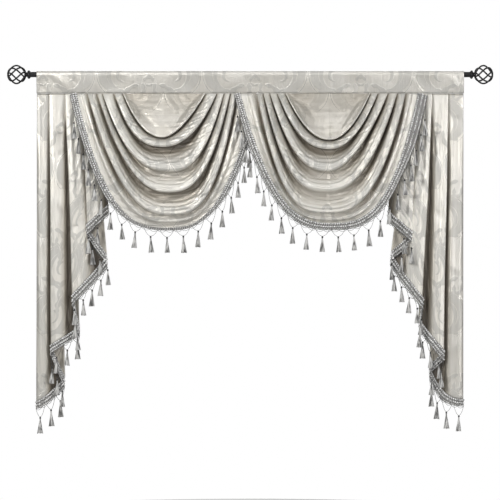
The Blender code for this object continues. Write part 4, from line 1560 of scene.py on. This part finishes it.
@once
def tassel_tree():
    """Tassels on points: a wound neck and a skirt of loose strands below each point."""
    inputs = (
        ("Geometry", "NodeSocketGeometry", None),
        ("Length", "NodeSocketFloat", TASSEL_LENGTH),
        ("Skirt Radius", "NodeSocketFloat", SKIRT_RADIUS),
        ("Neck Length", "NodeSocketFloat", NECK_LENGTH),
        ("Neck Radius", "NodeSocketFloat", 0.0023),
        ("Strand Radius", "NodeSocketFloat", 0.00075),
        ("Strands", "NodeSocketInt", 42),
        ("Seed", "NodeSocketInt", 3),
        ("Material", "NodeSocketMaterial", None),
    )
    outputs = (("Geometry", "NodeSocketGeometry"),)
    sketch, given, target = new_group("tassel row", "GeometryNodeTree", inputs, outputs)
    low = sketch.math("MULTIPLY", given["Length"], -1.0)
    neck = sketch.math("MULTIPLY", given["Neck Length"], -1.0)
    waist = sketch.math("MULTIPLY", given["Skirt Radius"], WAIST_RADIUS)
    middle_z = sketch.math("MULTIPLY_ADD", sketch.math("SUBTRACT", low, neck), WAIST_HEIGHT, neck)
    top = sketch.add("ShaderNodeCombineXYZ", given["Neck Radius"], 0.0, neck)
    middle = sketch.add("ShaderNodeCombineXYZ", waist, 0.0, middle_z)
    end = sketch.add("ShaderNodeCombineXYZ", given["Skirt Radius"], 0.0, low)
    line = sketch.add("GeometryNodeCurveQuadraticBezier", 5, top, middle, end)
    ring = sketch.ring(3, given["Strand Radius"])
    values = {"Curve": line, "Profile Curve": ring, "Fill Caps": True}
    strand = sketch.named("GeometryNodeCurveToMesh", values)
    places = sketch.named("GeometryNodeMeshLine", {"Count": given["Strands"], "Offset": (0.0, 0.0, 0.0)})
    turn = sketch.math("MULTIPLY", sketch.add("GeometryNodeInputIndex"), GOLDEN_ANGLE)
    spread = sketch.math("POWER", sketch.chance(*STRAND_SPREADS, given["Seed"]), 0.5)
    tall = sketch.chance(*STRAND_LENGTHS, given["Seed"])
    skirt = sketch.named(
        "GeometryNodeInstanceOnPoints",
        {
            "Points": places,
            "Instance": strand,
            "Rotation": sketch.add("ShaderNodeCombineXYZ", 0.0, 0.0, turn),
            "Scale": sketch.add("ShaderNodeCombineXYZ", spread, spread, tall),
        },
    )
    spiral = sketch.named(
        "GeometryNodeCurveSpiral",
        {
            "Resolution": 9,
            "Rotations": WINDING_TURNS,
            "Start Radius": given["Neck Radius"],
            "End Radius": given["Neck Radius"],
            "Height": sketch.math("MULTIPLY", neck, 0.8),
        },
    )
    values = {"Curve": spiral, "Profile Curve": sketch.ring(4, WINDING_RADIUS), "Fill Caps": True}
    wound = sketch.named("GeometryNodeCurveToMesh", values)
    core_radius = sketch.math("MULTIPLY", given["Neck Radius"], CORE_TOP)
    core = sketch.named(
        "GeometryNodeMeshCone",
        {
            "Vertices": 10,
            "Radius Top": core_radius,
            "Radius Bottom": sketch.math("MULTIPLY", given["Skirt Radius"], CORE_FOOT),
            "Depth": sketch.math("SUBTRACT", neck, low),
        },
    )
    stem = sketch.named(
        "GeometryNodeMeshCylinder", {"Vertices": 8, "Radius": core_radius, "Depth": given["Neck Length"]}
    )
    pieces = (
        skirt,
        sketch.raised(wound, -0.9 * BEAD_RADIUS),
        sketch.raised(core, sketch.math("MULTIPLY", low, 0.97)),
        sketch.raised(stem, sketch.math("MULTIPLY", neck, 0.52)),
    )
    join = sketch.tree.nodes.new("GeometryNodeJoinGeometry")
    for piece in pieces:
        sketch.tree.links.new(piece, join.inputs[0])
    hung = sketch.named(
        "GeometryNodeInstanceOnPoints",
        {
            "Points": given["Geometry"],
            "Instance": join.outputs[0],
            "Rotation": sketch.attribute("lean"),
            "Scale": sketch.attribute("size"),
        },
    )
    sketch.realize(hung, given["Material"], target)
    return sketch.tree


@once
def bead_tree():
    """A tall bead on each point."""
    inputs = (
        ("Geometry", "NodeSocketGeometry", None),
        ("Radius", "NodeSocketFloat", BEAD_RADIUS),
        ("Material", "NodeSocketMaterial", None),
    )
    outputs = (("Geometry", "NodeSocketGeometry"),)
    sketch, given, target = new_group("bead row", "GeometryNodeTree", inputs, outputs)
    bead = sketch.named("GeometryNodeMeshUVSphere", {"Segments": 12, "Rings": 8, "Radius": given["Radius"]})
    tall = sketch.named("GeometryNodeTransform", {"Geometry": bead, "Scale": (1.0, 1.0, 1.3)})
    placed = sketch.named("GeometryNodeInstanceOnPoints", {"Points": given["Geometry"], "Instance": tall})
    sketch.realize(placed, given["Material"], target)
    return sketch.tree


@once
def cord_tree():
    """A twisted cord along the edges of a mesh: slanting plies, one behind the other."""
    inputs = (
        ("Geometry", "NodeSocketGeometry", None),
        ("Pitch", "NodeSocketFloat", 0.0032),
        ("Radius", "NodeSocketFloat", 0.0017),
        ("Slant", "NodeSocketFloat", radians(38)),
        ("Material", "NodeSocketMaterial", None),
    )
    outputs = (("Geometry", "NodeSocketGeometry"),)
    sketch, given, target = new_group("twisted cord", "GeometryNodeTree", inputs, outputs)
    curve = sketch.named("GeometryNodeMeshToCurve", {"Mesh": given["Geometry"]})
    values = {"Curve": curve, "Length": given["Pitch"]}
    stepped = sketch.named("GeometryNodeResampleCurve", values, mode="LENGTH")
    ply = sketch.named("GeometryNodeMeshUVSphere", {"Segments": 6, "Rings": 4, "Radius": 1.0})
    long = sketch.math("MULTIPLY", given["Radius"], PLY_LENGTH)
    thick = sketch.math("MULTIPLY", given["Pitch"], PLY_THICKNESS)
    shape = sketch.add("ShaderNodeCombineXYZ", long, thick, given["Radius"])
    sized = sketch.named("GeometryNodeTransform", {"Geometry": ply, "Scale": shape})
    values = {"Vector": sketch.add("GeometryNodeInputTangent")}
    aligned = sketch.named("FunctionNodeAlignRotationToVector", values, axis="Y", pivot_axis="AUTO")
    spin = sketch.add("ShaderNodeCombineXYZ", 0.0, 0.0, given["Slant"])
    spin = sketch.named("FunctionNodeEulerToRotation", {"Euler": spin})
    values = {"Rotation": aligned, "Rotate By": spin}
    slanted = sketch.named("FunctionNodeRotateRotation", values, rotation_space="LOCAL")
    values = {"Points": stepped, "Instance": sized, "Rotation": slanted, "Scale": sketch.attribute("girth")}
    placed = sketch.named("GeometryNodeInstanceOnPoints", values)
    sketch.realize(placed, given["Material"], target)
    return sketch.tree


def grown(name, points, edges, tree, values, attributes=()):
    """A plain mesh that a node tree makes from some points or a line."""
    mesh = bpy.data.meshes.new(name)
    mesh.from_pydata([tuple(map(float, point)) for point in points], edges, [])
    for label, kind, rows in attributes:
        layer = mesh.attributes.new(label, kind, "POINT")
        layer.data.foreach_set("vector", np.array(rows, dtype=np.float32).ravel())
    obj = new_object(name, mesh)
    modifier = obj.modifiers.new("growth", "NODES")
    modifier.node_group = tree
    for item in tree.interface.items_tree:
        if item.in_out == "INPUT" and item.name in values:
            modifier[item.identifier] = values[item.name]
    plain = made_plain(obj)
    plain.data.shade_smooth()
    return plain


def solid_tree(objects):
    """A search tree of the finished surfaces of some objects."""
    whole = bmesh.new()
    for obj in objects:
        whole.from_mesh(evaluated_mesh(obj))
    tree = BVHTree.FromBMesh(whole)
    whole.free()
    return tree


def clear_front(tree, x, z_high, z_low, deepest):
    """The foremost y of anything behind a tassel that hangs at x between two heights."""
    found = deepest
    reach = SKIRT_RADIUS + TASSEL_CLEARANCE
    for side in (-1.0, -0.5, 0.0, 0.5, 1.0):
        for step in range(SEARCH_STEPS):
            height = blend(z_high, z_low, step / (SEARCH_STEPS - 1))
            start = Vector((x + side * reach, SEARCH_START_Y, height))
            hit = tree.ray_cast(start, Vector((0.0, 1.0, 0.0)))[0]
            if hit is not None:
                found = min(found, hit.y)
    return found


def bead_places(fringe, edges, tree):
    """Where the beads hang, and how far along the braid each one is."""
    outer = edges[1]
    steps = np.linalg.norm(np.diff(outer, axis=0), axis=1)
    reach = np.concatenate(([0.0], np.cumsum(steps)))
    level = np.abs(np.gradient(outer[:, 0])) / np.linalg.norm(np.gradient(outer, axis=0), axis=1)
    count = int((reach[-1] - fringe.last - fringe.first) / fringe.pitch)
    places, shares = [], []
    for number in range(count + 1):
        place = fringe.first + number * fringe.pitch
        steep = min(1.0 / max(np.interp(place, reach, level), STEEPEST_LEVEL), fringe.steep)
        drop = blend(fringe.first_drop, fringe.last_drop, number / count) * steep
        edge = [np.interp(place, reach, outer[:, axis]) for axis in range(3)]
        z_bead = edge[2] - drop
        z_top = z_bead + BEAD_RADIUS + TASSEL_CLEARANCE
        z_foot = z_bead - TASSEL_LENGTH - TASSEL_CLEARANCE
        front = clear_front(tree, edge[0], z_top, z_foot, edge[1] + SKIRT_RADIUS)
        places.append((edge[0], front - SKIRT_RADIUS - TASSEL_CLEARANCE, z_bead))
        shares.append(place / reach[-1])
    return np.array(places), np.array(shares)


def point_at(line, share):
    """The point at a share of a line's length."""
    steps = np.linalg.norm(np.diff(line, axis=0), axis=1)
    reach = np.concatenate(([0.0], np.cumsum(steps))) / steps.sum()
    return np.array([np.interp(share, reach, line[:, axis]) for axis in range(3)])


def sagging(start, end, sag, count=9):
    """A string between two points that hangs down a little in its middle."""
    line = []
    for share in np.linspace(0.0, 1.0, count):
        point = blend(np.array(start), np.array(end), share)
        point[2] -= sag * 4.0 * share * (1.0 - share)
        line.append(point)
    return line


def fringe_strings(edge, beads, shares, pitch_share):
    """The strings from the braid to each bead, and the small scallops along the braid's edge."""
    lines = []
    forward = np.array((0.0, -STRING_STAND, 0.0))
    for bead, share in zip(beads, shares):
        head = np.array(bead) + np.array((0.0, 0.0, BEAD_RADIUS * 1.1))
        for side in (-1.0, 1.0):
            spread = side * STRING_SPREAD * pitch_share
            root = point_at(edge, np.clip(share + spread, 0.0, 1.0)) + forward
            lines.append(sagging(root, head, STRING_SAG * abs(root[2] - head[2])))
    count = int(round(SCALLOPS_PER_TASSEL / pitch_share))
    for number in range(count):
        start = point_at(edge, number / count) + forward
        end = point_at(edge, (number + 1) / count) + forward
        lines.append(sagging(start, end, SCALLOP_SAG, 7))
    return lines


def ribbon(name, edges):
    """The flat braid between its two edges."""
    shares = np.linspace(0.0, 1.0, BRAID_STEPS + 1)
    grid = np.array([blend(edges[0], edges[1], share) for share in shares])
    along = reach_along(grid, 1)
    across = reach_along(grid, 0)
    texture = np.stack((along, across), axis=2)
    flip = edges[0][0][0] > edges[0][-1][0]
    obj = sheet_object(name, grid, texture, np.zeros(grid.shape[:2]), flip=flip)
    obj.data.materials.append(braid_material())
    thicken(obj, BRAID_THICKNESS)
    return made_plain(obj)


def build_tassels(fringe, beads, seed):
    """A tassel below each bead, each leaning its own way and of its own size."""
    trim = bpy.context.scene.valance_trim
    chance = np.random.default_rng(seed)
    lean = np.stack([chance.uniform(low, high, len(beads)) for low, high in TASSEL_LEANS], axis=1)
    size = np.ones((len(beads), 3)) * chance.uniform(*TASSEL_SIZES, len(beads))[:, None]
    values = {
        "Material": trim_thread("tassel_thread"),
        "Length": TASSEL_LENGTH,
        "Skirt Radius": SKIRT_RADIUS * TASSEL_FULLNESS,
        "Strands": trim.strands,
        "Seed": seed,
    }
    attributes = (("lean", "FLOAT_VECTOR", lean), ("size", "FLOAT_VECTOR", size))
    return grown(fringe.name + "_tassels", beads, [], tassel_tree(), values, attributes)


def build_rope(name, edges, rope):
    """A twisted cord along the braid. It gets thinner where the braid is narrow."""
    trim = bpy.context.scene.valance_trim
    path = blend(edges[0], edges[1], rope.share)
    path[:, 1] -= BRAID_THICKNESS * 0.5 + trim.cord_radius * rope.size * 0.5
    width = np.linalg.norm(edges[1] - edges[0], axis=1)
    girth = np.clip(width / BRAID_WIDTH, THINNEST_CORD, 1.0)[:, None] * np.ones(3)
    values = {
        "Material": trim_thread("cord_thread"),
        "Radius": trim.cord_radius * rope.size,
        "Pitch": trim.cord_pitch * rope.size,
        "Slant": rope.slant,
    }
    steps = [(number, number + 1) for number in range(len(path) - 1)]
    return grown(name, path, steps, cord_tree(), values, (("girth", "FLOAT_VECTOR", girth),))


def build_fringe(fringe, fine, coarse, behind, seed):
    """The braid and its cords as one piece, and the strings, beads and tassels as another."""
    trim = bpy.context.scene.valance_trim
    braid = ribbon(fringe.name + "_braid", fine)
    tree = solid_tree([braid] + behind)
    beads, shares = bead_places(fringe, coarse, tree)
    tassels = build_tassels(fringe, beads, seed)
    values = {"Material": trim_thread("bead_thread"), "Radius": BEAD_RADIUS}
    knobs = grown(fringe.name + "_beads", beads, [], bead_tree(), values)
    lines = fringe_strings(fine[1], beads, shares, shares[1] - shares[0])
    strings = wires(fringe.name + "_strings", lines, trim.string_radius, 1)
    strings.data.materials.append(trim_thread("string_thread"))
    cords = [build_rope(f"{fringe.name}_cord_{number}", fine, rope) for number, rope in enumerate(ROPES)]
    hanging = join_meshes(fringe.name + "_hanging", [tassels, knobs, strings])
    edging = join_meshes(fringe.name + "_edging", [braid] + cords)
    for obj in (hanging, edging):
        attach(obj, ROOT)
    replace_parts(edging, fringe.name)
    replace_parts(hanging, fringe.name)
    return edging, hanging


def build_floor(stage):
    """A pale painted floor."""
    bpy.ops.mesh.primitive_circle_add(
        vertices=96, radius=stage.floor_radius, fill_type="NGON", location=(0.0, 0.0, stage.floor_height)
    )
    floor = bpy.context.object
    floor.name = "floor"
    material, sketch, shader = new_material("floor_paint")
    clouds = sketch.noise(sketch.add("ShaderNodeTexCoord", out=3), 3.0, 2.0)
    pale = sketch.mix_colour(clouds, *FLOOR_TONES)
    sketch.feed(shader.inputs["Base Color"], pale)
    set_constants(shader, {"Roughness": 0.8})
    floor.data.materials.append(material)


def build_lights(stage):
    """Soft area lights that all aim at the cloth, and a white room for the rest."""
    for row in STAGE_LIGHTS:
        lamp = bpy.data.lights.new(row.name, "AREA")
        lamp.shape = "RECTANGLE"
        lamp.size = row.width
        lamp.size_y = row.height
        lamp.energy = row.power * stage.light_power
        lamp.color = row.colour
        obj = new_object(row.name, lamp)
        obj.location = row.place
        obj.rotation_euler = (Vector(LIGHT_AIM) - Vector(row.place)).to_track_quat("-Z", "Y").to_euler()
        obj.visible_camera = False
    world = bpy.data.worlds.new("studio")
    world.use_nodes = True
    sketch = Sketch(world.node_tree)
    background = world.node_tree.nodes["Background"]
    seen = sketch.add("ShaderNodeLightPath", out=0)
    strength = sketch.ramp(seen, 0.0, 1.0, stage.room_light, stage.backdrop_light)
    set_constants(background, {"Color": (1.0, 1.0, 1.0, 1.0)})
    sketch.feed(background.inputs["Strength"], strength)
    bpy.context.scene.world = world


def build_camera(stage):
    """A long lens square to the valance, which sees the view's width at the view's plane."""
    camera = bpy.data.cameras.new("camera")
    camera.sensor_width = 36.0
    camera.lens = camera.sensor_width * stage.camera_distance / stage.view_width
    camera.clip_start = 0.1
    camera.clip_end = 100.0
    obj = new_object("camera", camera)
    across, up = stage.view_centre
    obj.location = (across, stage.view_plane - stage.camera_distance, up)
    obj.rotation_euler = (radians(90), 0.0, 0.0)
    bpy.context.scene.camera = obj


def colour_property(name, description, value):
    return bpy.props.FloatVectorProperty(
        name=name, description=description, subtype="COLOR", size=4, min=0.0, max=1.0, default=(*value, 1.0)
    )


def number_property(name, description, value, **settings):
    return bpy.props.FloatProperty(name=name, description=description, default=value, **settings)


def length_property(name, description, value):
    return number_property(name, description, value, min=0.0, unit="LENGTH", precision=4)


def share_property(name, description, value):
    return number_property(name, description, value, min=0.0, max=1.0, subtype="FACTOR")


class ValanceCloth(bpy.types.PropertyGroup):
    """Colours and weave of the satin jacquard, and the colours of the shade painted into its folds."""

    satin_colour: colour_property("Satin", "Colour of the shiny ground", (0.74, 0.722, 0.675))
    warm_colour: colour_property("Warm satin", "Warmer tone over parts of the ground", (0.72, 0.695, 0.635))
    figure_colour: colour_property("Figure", "Colour of the woven leaves", (0.46, 0.455, 0.43))
    line_colour: colour_property("Outline", "Colour of the light lines along the leaves", (0.84, 0.83, 0.79))
    # Painted shade: the colours that the cloth is darkened towards in its folds and deepest grooves,
    # standing in for the shade there
    painted_shade_colour: colour_property("Groove", "Colour in the folds", (0.275, 0.235, 0.175))
    painted_deep_shade_colour: colour_property("Deep groove", "Colour deep in the folds", (0.05, 0.038, 0.026))
    figure_strength: share_property("Figure strength", "How clearly the woven leaves show", 0.62)
    # How strongly the shade is painted into the folds
    painted_shade_strength: share_property("Groove strength", "How much darker the cloth gets in its folds", 0.88)
    roughness: share_property("Roughness", "Roughness of the satin ground", 0.33)
    repeat_width: length_property("Repeat width", "Width of one repeat of the damask", 0.372)
    repeat_height: length_property("Repeat height", "Height of one repeat of the damask", 0.340)
    thread_pitch: length_property("Thread pitch", "Distance between threads", 0.0006)


class ValanceTrim(bpy.types.PropertyGroup):
    """Colours and sizes of the braid and tassels."""

    braid_colour: colour_property("Braid", "Light threads of the braid", (0.44, 0.436, 0.425))
    # The braid's dark threads, dark enough to be also the painted shade between its cords
    braid_dark_threads_and_shade: colour_property("Braid shade", "Dark threads of the braid", (0.060, 0.058, 0.055))
    cord_colour: colour_property("Cord", "Colour of the twisted cords", (0.90, 0.895, 0.88))
    tassel_colour: colour_property("Tassel", "Colour of the tassels", (0.54, 0.538, 0.53))
    # The strings and scallops are dark partly as painted shadow under the braid
    string_and_shadow_colour: colour_property("String", "Colour of the strings", (0.10, 0.098, 0.095))
    bead_colour: colour_property("Bead", "Colour of the beads", (0.018, 0.018, 0.02))
    strands: bpy.props.IntProperty(
        name="Strands", description="Strands in a tassel's skirt", default=48, min=6
    )
    cord_radius: length_property("Cord radius", "Radius of the twisted cords", 0.0030)
    cord_pitch: length_property("Cord pitch", "Distance from one ply of the cord to the next", 0.0078)
    string_radius: length_property("String radius", "Radius of the strings", 0.0007)


class ValanceMetal(bpy.types.PropertyGroup):
    """Paint of the rod and finials."""

    colour: colour_property("Paint", "Colour of the paint", (0.010, 0.010, 0.011))
    roughness: share_property("Roughness", "Roughness of the paint", 0.34)


class ValanceStage(bpy.types.PropertyGroup):
    """Floor, lights and camera."""

    floor_height: number_property("Floor height", "Height of the floor", -1.62, unit="LENGTH")
    floor_radius: length_property("Floor radius", "Radius of the floor", 1.5)
    light_power: number_property("Lights", "Scales all the lights", 0.47, min=0.0)
    room_light: number_property("Room light", "Light from all sides", 0.16, min=0.0)
    backdrop_light: number_property("Backdrop", "Brightness of the white behind the valance", 1.0, min=0.0)
    camera_distance: length_property("Camera distance", "From the camera to the cloth", 10.0)
    view_width: length_property("View width", "Width that the camera sees at the cloth", 1.7525)
    view_plane: number_property("View plane", "Depth at which the view has its width", -0.02, unit="LENGTH")
    view_centre: bpy.props.FloatVectorProperty(
        name="View centre",
        description="What the camera looks at, across and up",
        size=2,
        default=(-0.0007, -0.6162),
        unit="LENGTH",
    )


class VALANCE_OT_rod(bpy.types.Operator):
    """Builds the rod and its two cage finials"""

    bl_idname = "valance.rod"
    bl_label = "Rod and finials"

    def execute(self, context):
        build_rod()
        build_finial(-1.0, "cage_finial_left", "finial_left")
        build_finial(1.0, "cage_finial_right", "finial_right")
        return {"FINISHED"}


class VALANCE_OT_heading(bpy.types.Operator):
    """Builds the heading band that the rod runs through"""

    bl_idname = "valance.heading"
    bl_label = "Heading band"

    def execute(self, context):
        build_header()
        return {"FINISHED"}


class VALANCE_OT_tails(bpy.types.Operator):
    """Builds the two pleated side tails"""

    bl_idname = "valance.tails"
    bl_label = "Side tails"

    def execute(self, context):
        left = (LEFT_TAIL, LEFT_CORNER, LEFT_FLUTES, LEFT_TAIL_CREASES, 11)
        right = (RIGHT_TAIL, RIGHT_CORNER, RIGHT_FLUTES, RIGHT_TAIL_CREASES, 17)
        for side, shape in (("left", left), ("right", right)):
            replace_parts(build_tail("side_tail_" + side, *shape), "tail_" + side)
        return {"FINISHED"}


class VALANCE_OT_swags(bpy.types.Operator):
    """Builds the two draped swags"""

    bl_idname = "valance.swags"
    bl_label = "Swags"

    def execute(self, context):
        left = (LEFT_SWAG, LEFT_SWAG_LEAN, LEFT_SWAG_CREASES, LEFT_MOODS, 21)
        right = (RIGHT_SWAG, RIGHT_SWAG_LEAN, RIGHT_SWAG_CREASES, RIGHT_MOODS, 27)
        for side, shape in (("left", left), ("right", right)):
            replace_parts(build_swag("draped_swag_" + side, *shape), "swag_" + side)
        return {"FINISHED"}


class VALANCE_OT_fringes(bpy.types.Operator):
    """Builds the braids, cords, strings, beads and tassels along the four hems"""

    bl_idname = "valance.fringes"
    bl_label = "Fringes"

    def execute(self, context):
        piece = bpy.data.objects
        fine_columns = tail_columns(np.linspace(0.0, 1.0, PANEL_STEPS + 1), FOLD_TURNS)
        cad_columns = tail_columns(CAD_PANEL_SHARES, (0.0,))
        done = {}
        tails = (
            (TAIL_LEFT_FRINGE, LEFT_TAIL, LEFT_CORNER, LEFT_FLUTES, "side_tail_left", 31),
            (TAIL_RIGHT_FRINGE, RIGHT_TAIL, RIGHT_CORNER, RIGHT_FLUTES, "side_tail_right", 37),
        )
        for fringe, pleats, corner, flutes, cloth, seed in tails:
            fine = tail_braid(pleats, fine_columns, tail_hem(pleats, fine_columns, corner), flutes)
            coarse = tail_braid(pleats, cad_columns, tail_hem(pleats, cad_columns, corner))
            done[cloth] = build_fringe(fringe, fine, coarse, [piece[cloth]], seed)
        left = ("draped_swag_left", LEFT_SWAG, LEFT_SWAG_LEAN, SWAG_LEFT_BRAID, SWAG_LEFT_FRINGE, 41)
        right = ("draped_swag_right", RIGHT_SWAG, RIGHT_SWAG_LEAN, SWAG_RIGHT_BRAID, SWAG_RIGHT_FRINGE, 47)
        for cloth, folds, leans, widths, fringe, seed in (left, right):
            fine = swag_braid(hem_row(folds, leans, SWAG_HALF_COLUMNS), widths, BRAID_LAP)
            coarse = swag_braid(hem_row(folds, leans, CAD_HALF_COLUMNS), widths)
            side = cloth.rsplit("_", 1)[1]
            behind = [piece[cloth], piece["side_tail_" + side], *done["side_tail_" + side]]
            if "draped_swag_left" in done:
                behind += [piece["draped_swag_left"], *done["draped_swag_left"]]
            done[cloth] = build_fringe(fringe, fine, coarse, behind, seed)
        return {"FINISHED"}


class VALANCE_OT_stage(bpy.types.Operator):
    """Sets the floor, lights and camera"""

    bl_idname = "valance.stage"
    bl_label = "Stage"

    def execute(self, context):
        stage = context.scene.valance_stage
        context.scene.view_settings.view_transform = "Standard"
        build_floor(stage)
        build_lights(stage)
        build_camera(stage)
        return {"FINISHED"}


OPERATORS = (
    VALANCE_OT_stage,
    VALANCE_OT_rod,
    VALANCE_OT_heading,
    VALANCE_OT_tails,
    VALANCE_OT_swags,
    VALANCE_OT_fringes,
)


class VALANCE_PT_sidebar(bpy.types.Panel):
    """Settings and building steps of the valance"""

    bl_label = "Window valance"
    bl_idname = "VALANCE_PT_sidebar"
    bl_space_type = "VIEW_3D"
    bl_region_type = "UI"
    bl_category = "Valance"

    def draw(self, context):
        for label in SETTINGS:
            box = self.layout.box()
            settings = getattr(context.scene, label)
            for item in settings.bl_rna.properties:
                if not item.is_readonly and item.identifier != "name":
                    box.prop(settings, item.identifier)
        for operator in OPERATORS:
            self.layout.operator(operator.bl_idname)


SETTINGS = {
    "valance_cloth": ValanceCloth,
    "valance_trim": ValanceTrim,
    "valance_metal": ValanceMetal,
    "valance_stage": ValanceStage,
}


def register():
    for group in (*SETTINGS.values(), *OPERATORS, VALANCE_PT_sidebar):
        bpy.utils.register_class(group)
    for label, group in SETTINGS.items():
        setattr(bpy.types.Scene, label, bpy.props.PointerProperty(type=group))


def unregister():
    for label in SETTINGS:
        delattr(bpy.types.Scene, label)
    for group in (VALANCE_PT_sidebar, *OPERATORS, *SETTINGS.values()):
        bpy.utils.unregister_class(group)


def main():
    register()
    bpy.ops.valance.stage()
    bpy.ops.valance.rod()
    bpy.ops.valance.heading()
    bpy.ops.valance.tails()
    bpy.ops.valance.swags()
    bpy.ops.valance.fringes()


if __name__ == "__main__":
    main()
